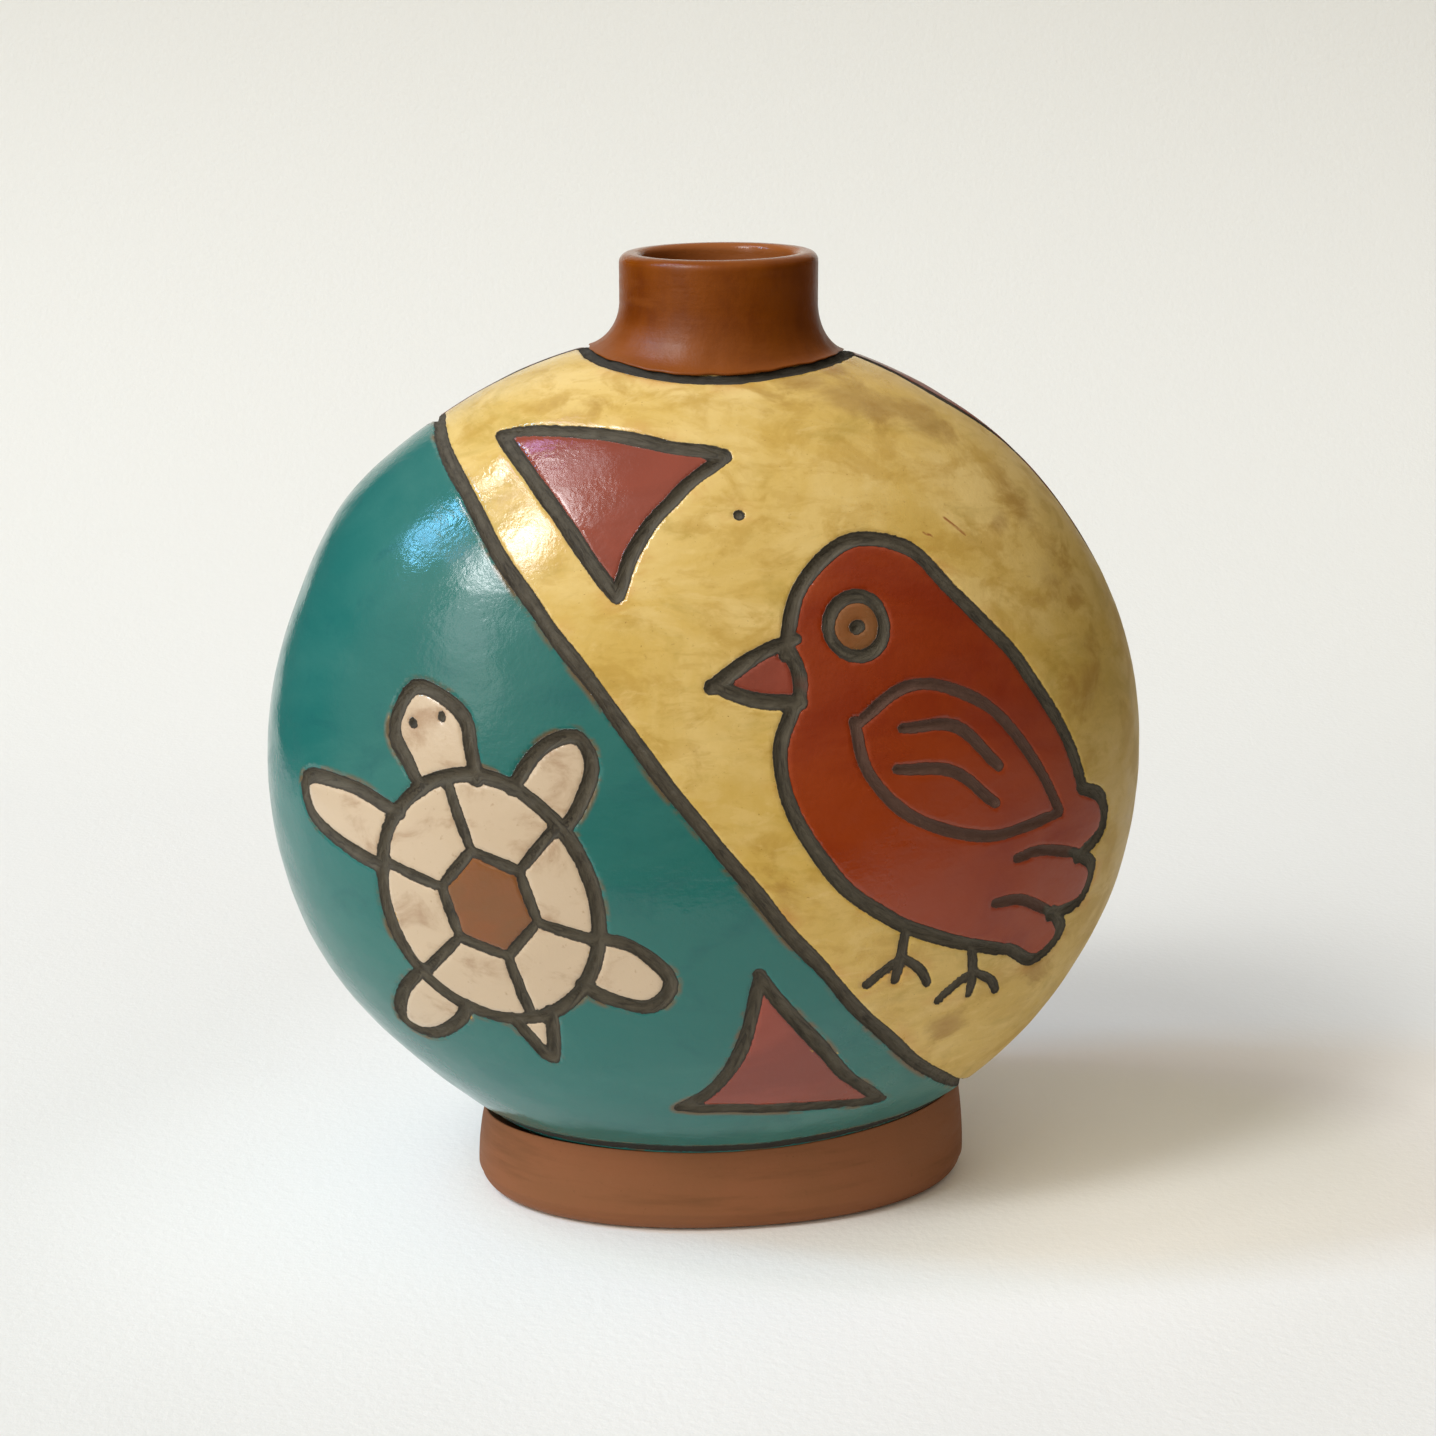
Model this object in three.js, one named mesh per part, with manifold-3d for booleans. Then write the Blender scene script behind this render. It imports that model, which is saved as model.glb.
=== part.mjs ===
// Pottery flask: a round, flattened vessel with a short neck and an oval foot.
// Two shallow bowls are set rim to rim to make the body. The neck stands over a hole in
// their shoulder, and the foot ring carries their flattened base. Coils of clay are worked
// into the seams where the potter's fingers reach. The fields and figures on the bowls are
// parted by incised lines.
// Millimetres. X runs across the broad face, Y from front to back, Z up from the table.
import * as THREE from "three";
import { mergeVertices } from "three/addons/utils/BufferGeometryUtils.js";
import Module from "manifold-3d";

const wasm = await Module();
wasm.setup();

// Body
const bodyWidth = 152.2;
const bodyDepth = 101.2;
const shoulderRise = 74.1; // from the widest level up to the crown
const bellyDrop = 74.4; // from the widest level down to where the belly would close
const basePat = 3.1; // how much of the belly is patted flat
const faceFullness = 2.21; // 2 is an ellipse, more is a flatter face and a rounder edge
const bodyWall = 4.5;
const floorThickness = 5;

// Unevenness left by hand in the outline: height, place as an angle from +X, and spread
const shoulderSwell = 1.25;
const shoulderSwellAngle = 2.49;
const shoulderSwellSpread = 0.19;
const bellyTuck = 1.55;
const bellyTuckAngle = 3.98;
const bellyTuckSpread = 0.25;

// Neck
const neckHeight = 13.6; // crown of the body up to the lip
const neckOffset = 2.05; // the neck stands to the right of the middle
const neckRadius = 16.7;
const neckWall = 3.65;
const lipRounding = 1.5;
const lipDip = 1.1; // the mouth is this much lower at the front left than opposite
const lipDipTurn = -0.625 * Math.PI; // from +X towards +Y
const flareTop = 4.8; // height above the crown where the neck starts to flare
const collarWidth = 42.8;
const collarDepth = 40.4; // the collar is a little oval
const collarEdge = 0.6; // thickness of the collar where it ends on the shoulder

// Foot
const footLength = 86.8;
const footWidth = 57.4;
const footSquareness = 2.12; // 2 is an ellipse
const footOffset = 2.6; // the foot stands to the right of the middle
const footForward = 0.5;
const footTurn = 0.035; // radians
const footRecess = 6; // the base of the body stands this high above the table
const footWall = 7;
const footRounding = 3;
const footChamfer = 1.2; // along the inner edge of the tread
const footBulge = 0.6;
const footBulgeHeight = 7;
const footWaist = 0.6;

// Incised lines
const neckLineWidth = 2.1; // round the neck, on the shoulder
const neckLineDepth = 0.8;
const lineWidth = 2.5; // on the bowls
const lineDepth = 0.85;
const lineClearance = 0.5; // how far a line's tool stands out of the clay

// The turtle on the front
const turtlePlace = { x: -38.5, z: 65 };
const turtleTurn = 0.3; // radians
const turtleShellAcross = 16.7;
const turtleShellAlong = 21.6;

// Luting coils
const seamCoilWidth = 13;
const seamCoilThickness = 2.6;
const neckCoilWidth = 5;
const neckCoilThickness = 2.2;
const footCoilLeg = 4;

const jointGap = 0.3; // room for the slip between two pieces that are not butted flat
const scribeAllowance = 3; // clay left on an edge before it is cut to the curve it sits on

// Fineness
const outlineSteps = 48;
const faceSteps = 12;
const insideOutlineSteps = 36;
const insideFaceSteps = 8;
const ringSteps = 48;
const lineStretch = 8.5; // length of a straight stretch of an incised line
const flareSteps = 7;
const roundingSteps = 3;
const coilSteps = 6;
const weldDistance = 1e-4;

// Levels and radii that follow from the sizes above
const centreHeight = footRecess - basePat + bellyDrop;
const crown = centreHeight + shoulderRise;
const lipHeight = crown + neckHeight;
const floorHeight = footRecess + floorThickness;
const mouthRadius = neckRadius - neckWall;
const collarRadius = collarWidth / 2;

// Half width, half depth and centre-to-rim heights of the body, grown by a distance.
function bodySizes(grow) {
  return {
    across: bodyWidth / 2 + grow,
    deep: bodyDepth / 2 + grow,
    up: shoulderRise + grow,
    down: bellyDrop + grow,
  };
}

// A bump of height 1 at an angle, falling off on both sides like a bell curve.
function bell(angle, place, spread) {
  const turn = Math.atan2(Math.sin(angle - place), Math.cos(angle - place));
  return Math.exp(-((turn / spread) ** 2));
}

// The rim outline in the XZ plane, measured from the body's centre, with its uneven places.
function rimPoint(angle, sizes) {
  const rise = (1 + Math.sin(angle)) / 2;
  const tall = sizes.down + (sizes.up - sizes.down) * rise;
  const swell = shoulderSwell * bell(angle, shoulderSwellAngle, shoulderSwellSpread);
  const tuck = bellyTuck * bell(angle, bellyTuckAngle, bellyTuckSpread);
  const hand = 1 + (2 * (swell - tuck)) / bodyWidth;
  return { x: sizes.across * Math.cos(angle) * hand, z: tall * Math.sin(angle) * hand };
}

// How far out the body reaches at a depth: 1 at the rim, 0 at the middle of a face.
function reachAtDepth(depth, sizes) {
  return (1 - Math.min(1, Math.abs(depth) / sizes.deep) ** 2) ** (1 / faceFullness);
}

// Height of the body's upper or lower surface over a point of the plan.
function surfaceHeight(x, y, side, grow) {
  const sizes = bodySizes(grow);
  const reach = reachAtDepth(y, sizes);
  const across = Math.min(1, Math.abs(x) / (sizes.across * reach));
  const tall = side > 0 ? sizes.up : sizes.down;
  return centreHeight + side * tall * reach * Math.sqrt(1 - across ** 2);
}

// Merges doubled corners and drops the triangles that collapse at a pole.
function weld(geometry) {
  geometry.deleteAttribute("normal");
  geometry.deleteAttribute("uv");
  const merged = mergeVertices(geometry, weldDistance);
  const corners = merged.index.array;
  const kept = [];
  for (let i = 0; i < corners.length; i += 3) {
    const [a, b, c] = corners.slice(i, i + 3);
    if (a !== b && b !== c && c !== a) kept.push(a, b, c);
  }
  merged.setIndex(kept);
  return merged;
}

// A closed mesh as a solid that can be joined and cut, with its faces turned outwards.
function solid(geometry) {
  const welded = weld(geometry);
  const vertProperties = new Float32Array(welded.attributes.position.array);
  const triVerts = new Uint32Array(welded.index.array);
  if (signedVolume(vertProperties, triVerts) < 0) triVerts.reverse();
  return new wasm.Manifold(new wasm.Mesh({ numProp: 3, vertProperties, triVerts }));
}

// The volume inside a closed mesh, negative where its faces point inwards.
function signedVolume(points, corners) {
  const [a, b, c] = [new THREE.Vector3(), new THREE.Vector3(), new THREE.Vector3()];
  let sum = 0;
  for (let i = 0; i < corners.length; i += 3) {
    a.fromArray(points, 3 * corners[i]);
    b.fromArray(points, 3 * corners[i + 1]);
    c.fromArray(points, 3 * corners[i + 2]);
    sum += a.dot(b.cross(c)) / 6;
  }
  return sum;
}

// Moves every vertex of a geometry to the place that a function gives for it.
function reshape(geometry, place) {
  const position = geometry.attributes.position;
  const vertex = new THREE.Vector3();
  for (let i = 0; i < position.count; i++) {
    vertex.fromBufferAttribute(position, i);
    const moved = place(vertex);
    position.setXYZ(i, moved.x, moved.y, moved.z);
  }
  return geometry;
}

// An upright round plug on the neck's axis.
function neckPlug(radius, low, high) {
  const plug = new THREE.CylinderGeometry(radius, radius, high - low, ringSteps);
  plug.rotateX(Math.PI / 2);
  plug.translate(neckOffset, 0, (low + high) / 2);
  return solid(plug);
}

// The whole body as one full lens: a half profile is turned about the Y axis on a circle of
// radius 1, and each ring is then opened out to the rim outline. The base is patted flat.
function bodyLens(grow, floor = footRecess - grow) {
  const sizes = bodySizes(grow);
  const steps = grow < 0 ? insideFaceSteps : faceSteps;
  const profile = [];
  for (let i = -steps; i <= steps; i++) {
    const reach = Math.abs(i) === steps ? 0 : Math.cos((i / steps) * (Math.PI / 2));
    const depth = Math.sign(i) * sizes.deep * Math.sqrt(1 - reach ** faceFullness);
    profile.push(new THREE.Vector2(reach, depth));
  }
  const lens = new THREE.LatheGeometry(profile, grow < 0 ? insideOutlineSteps : outlineSteps);
  return solid(reshape(lens, (v) => {
    const rim = rimPoint(Math.atan2(v.z, v.x), sizes);
    const reach = Math.hypot(v.x, v.z);
    const z = Math.max(floor, centreHeight + reach * rim.z);
    return new THREE.Vector3(reach * rim.x, v.y, z);
  }));
}

// How far out a point of the body's middle plane lies: 0 at the centre, 1 on the rim outline.
function reachOf(x, up) {
  const rim = rimPoint(Math.atan2(up / shoulderRise, x / (bodyWidth / 2)), bodySizes(0));
  return Math.hypot(x, up) / Math.hypot(rim.x, rim.z);
}

// Moves a point along the line from the body's centre on to its surface, where reach to the
// power of faceFullness and depth squared add up to 1, by Newton's method.
function pressed(point) {
  const reach = reachOf(point.x, point.z - centreHeight);
  const depth = Math.abs(point.y) / (bodyDepth / 2);
  let factor = 1 / Math.hypot(reach, depth);
  for (let i = 0; i < 5; i++) {
    const inward = (factor * reach) ** faceFullness;
    const across = (factor * depth) ** 2;
    factor -= (inward + across - 1) * factor / (faceFullness * inward + 2 * across);
  }
  const z = centreHeight + factor * (point.z - centreHeight);
  return new THREE.Vector3(factor * point.x, factor * point.y, z);
}

// The direction straight out of the clay at a point of the body's surface.
function outward(point) {
  const up = point.z - centreHeight;
  const rise = faceFullness * reachOf(point.x, up) ** (faceFullness - 2);
  return new THREE.Vector3(
    rise * point.x / (bodyWidth / 2) ** 2,
    2 * point.y / (bodyDepth / 2) ** 2,
    rise * up / shoulderRise ** 2,
  ).normalize();
}

// Points on a face, given as pairs of across and height: side -1 is the front, 1 the back.
function onFace(side, pairs) {
  return pairs.map(([x, z]) => {
    const reach = Math.min(1, reachOf(x, z - centreHeight));
    const y = side * (bodyDepth / 2) * Math.sqrt(1 - reach ** faceFullness);
    return new THREE.Vector3(x, y, z);
  });
}

// The tool for one incised line: a three-cornered bar that follows a smooth curve through
// the points. Two corners stand out of the clay and the third runs at the line's bottom.
function line(points, closed = false) {
  const curve = new THREE.CatmullRomCurve3(points, closed, "catmullrom", 0.5);
  const stretches = Math.max(1, Math.round(curve.getLength() / lineStretch));
  const path = curve.getSpacedPoints(stretches).map(pressed);
  if (closed) path.pop();
  const half = (lineWidth / 2) * (1 + lineClearance / lineDepth);
  const corners = path.flatMap((place, i) => {
    const last = path.length - 1;
    const before = path[i > 0 ? i - 1 : closed ? last : 0];
    const after = path[i < last ? i + 1 : closed ? 0 : last];
    const out = outward(place);
    const aside = new THREE.Vector3().subVectors(after, before).cross(out).setLength(half);
    const above = place.clone().addScaledVector(out, lineClearance);
    const bottom = place.clone().addScaledVector(out, -lineDepth);
    return [above.clone().add(aside), above.sub(aside), bottom];
  });
  const faces = closed ? [] : [0, 1, 2, corners.length - 1, corners.length - 2, corners.length - 3];
  for (let i = 0; i < (closed ? path.length : path.length - 1); i++) {
    for (let side = 0; side < 3; side++) {
      const next = (side + 1) % 3;
      const [a, b] = [3 * i + side, 3 * i + next];
      const [c, d] = [(3 * i + 3 + side) % corners.length, (3 * i + 3 + next) % corners.length];
      faces.push(a, d, b, a, c, d);
    }
  }
  const bar = new THREE.BufferGeometry().setFromPoints(corners);
  bar.setIndex(faces);
  return solid(bar);
}

// One line through points on a face, and a figure made of several.
const faceLine = (side, pairs, closed) => line(onFace(side, pairs), closed);
const figure = (side, strokes) => strokes.map((pairs) => faceLine(side, pairs));

// The line that parts the two fields of the front, and the two plain triangles on them.
function frontLines() {
  const divider = [
    [-45, 137.2], [-43.4, 132.6], [-40.1, 127.4], [-35.3, 119.2], [-28.9, 110.7],
    [-22.4, 102], [-14.7, 91.6], [-5.5, 79.2], [4, 67.2], [14, 54.4], [24.8, 41.1],
    [32.8, 32], [41.1, 23.6], [45.5, 19.2],
  ];
  const highTriangle = [
    [[-35.2, 137], [-25.6, 138.2], [-13.2, 137.2], [0, 135.1]],
    [[0.3, 134.9], [-8.7, 128.5], [-14, 122.8], [-17.6, 114.6]],
    [[-17.8, 114.5], [-25.9, 125.4], [-35, 137]],
  ];
  const lowTriangle = [
    [[4.3, 53.6], [3.1, 45.2], [1.1, 37.3], [-3, 30.6], [-7.6, 27]],
    [[-8, 26.9], [5.5, 26.1], [26.9, 24.9]],
    [[27, 24.8], [13.7, 40.4], [4.2, 53.6]],
  ];
  return [faceLine(-1, divider), ...figure(-1, highTriangle), ...figure(-1, lowTriangle)];
}

// A plump bird: back, breast, beak and a tail of three feathers.
function birdLines() {
  return figure(-1, [
    [[8.2, 105.5], [10.8, 115.5], [19, 122], [28.5, 120.5], [37, 112.5], [46.5, 102.5],
      [54.5, 91], [59.4, 78.5]],
    [[59, 79], [63.6, 76], [64.2, 70.4], [59.2, 66.6]],
    [[59.2, 67.4], [62.6, 64], [61, 58.2], [54.6, 57.2]],
    [[55, 58], [57, 52.8], [52.2, 49.2], [46.6, 53]],
    [[47.6, 52.6], [38, 55.8], [27, 61], [16.5, 69.5], [9.4, 80.5], [7.2, 90.5],
      [9.8, 98.6]],
    [[9.8, 107.8], [3.4, 105.4], [-3.6, 100.8]],
    [[-3.6, 101.2], [3.4, 98.8], [10.6, 98.2]],
  ]);
}

// A turtle seen from above: its shell, head, tail and four limbs.
function turtleLines() {
  const place = ([u, v]) => [
    turtlePlace.x + u * Math.cos(turtleTurn) - v * Math.sin(turtleTurn),
    turtlePlace.z + u * Math.sin(turtleTurn) + v * Math.cos(turtleTurn),
  ];
  const shell = new THREE.EllipseCurve(0, 0, turtleShellAcross, turtleShellAlong);
  const rim = shell.getPoints(14).slice(1).map((point) => place([point.x, point.y]));
  const limbs = [
    [[-4.5, 20.1], [-5.6, 30.8], [0, 36.2], [5.6, 30.8], [4.5, 20.1]],
    [[9.3, 17.3], [15.7, 22.5], [21.6, 22.9], [18.4, 11.9], [14.7, 8.9]],
    [[-9.3, 17.3], [-16.2, 22.9], [-23.2, 24.2], [-18.9, 12.1], [-14.7, 8.9]],
    [[14.5, -9.3], [20, -13], [23.8, -20], [13, -20.5], [9.7, -17.1]],
    [[-14.5, -9.3], [-19.4, -13.5], [-22.1, -20], [-12.4, -20.5], [-9.7, -17.1]],
    [[-3.2, -20.7], [0.4, -30.2], [3.5, -20.5]],
  ];
  return [faceLine(-1, rim, true), ...figure(-1, limbs.map((limb) => limb.map(place)))];
}

// The lines of the back: its edge line just behind the shoulders, a dividing line from the
// left shoulder to the foot, and plain triangles.
function backLines() {
  const edge = [
    [24.3, 3, 148.3], [35, 2.2, 143.6], [45, 1.2, 137.3], [52, 0.6, 131.4], [57.5, 1, 125.8],
    [63.5, 4, 116.3], [68.5, 8.5, 102.5], [71, 12, 88], [71, 14.5, 74], [68, 15.5, 60],
    [61, 15, 45], [52, 13, 31], [44, 10, 19],
  ];
  const leftEdge = [[-20, 5.4, 149.4], [-30, 5.8, 145.6], [-38, 5.8, 141.4], [-45.6, 5.6, 136.2]];
  const start = [[-45, 0, 137.2], [-45.8, 5.6, 136]];
  const divider = [
    [-45.5, 131], [-42, 120], [-32, 106], [-18, 90], [-4, 74], [10, 57], [24, 40],
    [34, 27], [38, 20],
  ];
  const places = (triples) => triples.map((triple) => new THREE.Vector3(...triple));
  const triangles = [
    [[-62, 78], [-36, 88], [-44, 56]],
    [[4, 122], [30, 128], [-2, 138]],
  ];
  const sides = triangles.flatMap(([a, b, c]) => [[a, b], [b, c], [c, a]]);
  return [
    line(places(edge)),
    line(places(leftEdge)),
    line([...places(start), ...onFace(1, divider)]),
    ...figure(1, sides),
  ];
}

// The two bowls: the lens less its cavity, the hole under the neck and the incised lines,
// parted at the rim.
function bodyBowls() {
  const cavity = bodyLens(-bodyWall, floorHeight);
  const hole = neckPlug(mouthRadius, centreHeight, lipHeight);
  const lines = [...frontLines(), ...birdLines(), ...turtleLines(), ...backLines(), neckLine()];
  const incised = lines.reduce((shell, tool) => shell.subtract(tool), bodyLens(0));
  const shell = incised.subtract(cavity).subtract(hole);
  const before = new THREE.BoxGeometry(2 * bodyWidth, bodyDepth, 2 * lipHeight);
  const frontSpace = solid(before.translate(0, -bodyDepth / 2, 0));
  return { front: shell.intersect(frontSpace), back: shell.subtract(frontSpace) };
}

// The neck: a straight tube with a rounded lip, flaring into a collar that rides on the
// shoulder. The flare is a quarter of an ellipse whose foot follows the body all round. The
// mouth dips to one side, and the collar is flattened from front to back.
function neck() {
  const flareHeight = crown + flareTop;
  const collarHeight = crown - collarEdge;
  const under = collarHeight - scribeAllowance;
  const lip = Math.min(lipRounding, neckWall / 2);
  const section = new THREE.Path();
  section.moveTo(mouthRadius, under);
  section.lineTo(mouthRadius, lipHeight - lip);
  section.quadraticCurveTo(mouthRadius, lipHeight, mouthRadius + lip, lipHeight);
  section.lineTo(neckRadius - lip, lipHeight);
  section.quadraticCurveTo(neckRadius, lipHeight, neckRadius, lipHeight - lip);
  section.lineTo(neckRadius, flareHeight);
  const flare = new THREE.EllipseCurve(
    collarRadius, flareHeight, collarRadius - neckRadius, flareHeight - collarHeight,
    Math.PI, 1.5 * Math.PI,
  );
  flare.getPoints(flareSteps).forEach((point) => section.lineTo(point.x, point.y));
  section.lineTo(collarRadius, under);
  section.lineTo(mouthRadius, under);
  const tube = new THREE.LatheGeometry(section.getPoints(roundingSteps), ringSteps);
  const crest = neckRadius - lip;
  const seated = reshape(tube.rotateX(Math.PI / 2), (v) => {
    const x = v.x + neckOffset;
    if (v.z < flareHeight) {
      const spread = (Math.hypot(v.x, v.y) - neckRadius) / (collarRadius - neckRadius);
      const y = v.y * (1 - Math.max(0, spread) * (1 - collarDepth / collarWidth));
      const seat = surfaceHeight(x, y, 1, 0) + jointGap + collarEdge;
      const stretch = (flareHeight - seat) / (flareHeight - collarHeight);
      return new THREE.Vector3(x, y, flareHeight - (flareHeight - v.z) * stretch);
    }
    const towards = v.x * Math.cos(lipDipTurn) + v.y * Math.sin(lipDipTurn);
    const dip = lipDip * (crest + towards) / (2 * crest);
    const share = (v.z - flareHeight) / (lipHeight - flareHeight);
    return new THREE.Vector3(x, v.y, v.z - dip * share);
  });
  return solid(seated).subtract(bodyLens(jointGap));
}

// The line incised round the collar: a round rod laid in the shoulder, to be cut away.
function neckLine() {
  const rod = neckLineWidth / 2;
  const path = collarRadius + rod;
  const ring = new THREE.TorusGeometry(path, rod, coilSteps, ringSteps);
  return solid(reshape(ring, (v) => {
    const along = path / Math.hypot(v.x, v.y);
    const y = v.y * collarDepth / collarWidth;
    const seat = surfaceHeight(neckOffset + v.x * along, y * along, 1, 0);
    return new THREE.Vector3(v.x + neckOffset, y, v.z + seat + rod - neckLineDepth);
  }));
}

// A point of the foot's plan, at an angle and a distance outside its nominal oval.
function footPoint(angle, offset) {
  const squash = (value) => Math.sign(value) * Math.abs(value) ** (2 / footSquareness);
  const x = (footLength / 2 + offset) * squash(Math.cos(angle));
  const y = (footWidth / 2 + offset) * squash(Math.sin(angle));
  return { x, y };
}

// Carries a closed section round the foot's oval. The section gives distance outside the
// nominal oval and height above a base surface, the table unless another is given. It is
// turned on a circle first, and the circle is then opened out.
function ovalSweep(section, base = () => 0) {
  const core = footLength;
  const points = section.map((point) => new THREE.Vector2(core + point.x, point.y));
  const ring = new THREE.LatheGeometry([...points, points[0]], ringSteps);
  const cos = Math.cos(footTurn);
  const sin = Math.sin(footTurn);
  return solid(reshape(ring.rotateX(Math.PI / 2), (v) => {
    const plan = footPoint(Math.atan2(v.y, v.x), Math.hypot(v.x, v.y) - core);
    const x = footOffset + plan.x * cos - plan.y * sin;
    const y = -footForward + plan.x * sin + plan.y * cos;
    return new THREE.Vector3(x, y, v.z + base(x, y));
  }));
}

// The foot: an upright oval wall with a rounded tread, a slight bulge and a slight waist,
// its top edge scribed to the belly that it carries.
function footRing() {
  const end = footOffset + footLength / 2 + footBulge;
  const top = surfaceHeight(end, 0, -1, 0) + scribeAllowance;
  const rounding = Math.min(footRounding, footWall / 2);
  const section = new THREE.Path();
  section.moveTo(-footWall, top);
  section.lineTo(-footWall, footChamfer);
  section.lineTo(-footWall + footChamfer, 0);
  section.lineTo(-rounding, 0);
  section.quadraticCurveTo(0, 0, footBulge / 2, rounding);
  section.lineTo(footBulge, footBulgeHeight);
  section.quadraticCurveTo(footBulge, (footBulgeHeight + top) / 2, -footWaist, top);
  return ovalSweep(section.getPoints(roundingSteps)).subtract(bodyLens(jointGap));
}

// The space inside the body that a coil may fill: the cavity less the slip against its wall.
function coilSpace() {
  return bodyLens(-bodyWall - jointGap, floorHeight + jointGap);
}

// A coil of half-round section worked along the inside of the seam between the bowls. It runs
// from one side of the neck round the floor to the other side.
function seamCoil() {
  const cavity = bodySizes(-bodyWall);
  const core = bodyWidth;
  const half = seamCoilWidth / 2;
  const crest = new THREE.EllipseCurve(0, 0, seamCoilThickness, half, Math.PI / 2, -Math.PI / 2, true);
  const section = crest.getPoints(coilSteps).map((point) => new THREE.Vector2(core - point.x, point.y));
  const ring = new THREE.LatheGeometry([...section, section[0]], outlineSteps);
  const laid = reshape(ring, (v) => {
    const rim = rimPoint(Math.atan2(v.z, v.x), cavity);
    const inward = core - Math.hypot(v.x, v.z);
    const reach = reachAtDepth(v.y, cavity) - inward / Math.hypot(rim.x, rim.z);
    const z = Math.max(floorHeight + inward, centreHeight + reach * rim.z);
    return new THREE.Vector3(reach * rim.x, v.y, z);
  });
  const mouth = neckPlug(mouthRadius + neckCoilWidth + jointGap, centreHeight, lipHeight);
  return solid(laid).intersect(coilSpace()).subtract(mouth);
}

// A coil pressed under the shoulder round the hole, where a finger reaches in by the neck.
function neckCoil() {
  const outer = mouthRadius + neckCoilWidth;
  const section = new THREE.Path();
  section.moveTo(mouthRadius, 0);
  section.lineTo(mouthRadius, -neckCoilThickness);
  section.quadraticCurveTo(outer, -neckCoilThickness, outer, 0);
  section.lineTo(mouthRadius, 0);
  const ring = new THREE.LatheGeometry(section.getPoints(roundingSteps), ringSteps);
  const laid = reshape(ring.rotateX(Math.PI / 2), (v) => {
    const roof = surfaceHeight(v.x + neckOffset, v.y, 1, -bodyWall);
    return new THREE.Vector3(v.x + neckOffset, v.y, roof + v.z);
  });
  return solid(laid).intersect(coilSpace());
}

// A coil smoothed into the corner between the foot's inner wall and the belly.
function footCoil() {
  const start = -footWall - jointGap;
  const section = new THREE.Path();
  section.moveTo(start, 0);
  section.lineTo(start - footCoilLeg, 0);
  section.quadraticCurveTo(start - footCoilLeg / 4, -footCoilLeg / 4, start, -footCoilLeg);
  const belly = (x, y) => surfaceHeight(x, y, -1, 0);
  const ring = ovalSweep(section.getPoints(roundingSteps), belly);
  return ring.subtract(bodyLens(jointGap));
}

// Fired clay or burnished slip of one colour.
function finish(colour, roughness) {
  return new THREE.MeshStandardMaterial({ color: colour, roughness, metalness: 0 });
}

const ochreSlip = finish(0xd8bd6a, 0.35);
const tealSlip = finish(0x1f7571, 0.35);
const redClay = finish(0x8a4526, 0.5);
const bareClay = finish(0x9c5a3a, 0.8);

const flask = new THREE.Group();

// Puts a finished solid on the flask as a mesh with a name and a finish.
function add(name, body, material) {
  const { vertProperties, triVerts } = body.getMesh();
  const geometry = new THREE.BufferGeometry();
  geometry.setAttribute("position", new THREE.BufferAttribute(vertProperties, 3));
  geometry.setIndex(new THREE.BufferAttribute(triVerts, 1));
  geometry.computeVertexNormals();
  const mesh = new THREE.Mesh(geometry, material);
  mesh.name = name;
  flask.add(mesh);
}

const bowls = bodyBowls();
add("front_bowl", bowls.front, ochreSlip);
add("back_bowl", bowls.back, tealSlip);
add("neck", neck(), redClay);
add("foot_ring", footRing(), redClay);
add("body_seam_coil", seamCoil(), bareClay);
add("neck_seam_coil", neckCoil(), bareClay);
add("foot_seam_coil", footCoil(), bareClay);

export default flask;
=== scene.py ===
import math
import bmesh
import bpy
import numpy as np
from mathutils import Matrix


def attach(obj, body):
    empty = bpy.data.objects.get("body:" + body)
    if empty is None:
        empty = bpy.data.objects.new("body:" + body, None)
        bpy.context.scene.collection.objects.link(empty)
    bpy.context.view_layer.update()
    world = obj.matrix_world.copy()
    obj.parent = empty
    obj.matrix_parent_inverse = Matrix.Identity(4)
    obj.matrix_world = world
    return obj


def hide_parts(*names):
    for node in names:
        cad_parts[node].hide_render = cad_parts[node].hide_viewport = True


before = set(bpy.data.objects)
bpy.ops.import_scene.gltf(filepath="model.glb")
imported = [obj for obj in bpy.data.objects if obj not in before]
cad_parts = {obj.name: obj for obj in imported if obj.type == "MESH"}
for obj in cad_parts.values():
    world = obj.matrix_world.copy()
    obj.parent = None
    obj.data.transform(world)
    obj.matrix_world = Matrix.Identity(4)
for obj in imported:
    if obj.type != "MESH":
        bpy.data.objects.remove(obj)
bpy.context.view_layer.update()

# Camera. It stands before the flask, a little to the left and above the lip, and looks down
# on the belly. Lengths in this script are millimetres until a mesh, lamp or camera is made.
MM = 0.001
EYE = np.array([-37.7, -439.4, 194.2])
HEADING = 0.09  # turned this far to the right of straight ahead, in radians
PITCH = 0.245  # looking down, in radians
LENS = 65.2
SENSOR = 36.0


def add_object(name, data):
    """Puts new data into the scene as an object at the origin."""
    made = bpy.data.objects.new(name, data)
    bpy.context.scene.collection.objects.link(made)
    return made


camera = add_object("camera", bpy.data.cameras.new("camera"))
camera.data.lens = LENS
camera.data.sensor_width = SENSOR
camera.data.clip_end = 100
camera.location = EYE * MM
camera.rotation_euler = (math.pi / 2 - PITCH, 0, -HEADING)
bpy.context.scene.camera = camera

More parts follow.
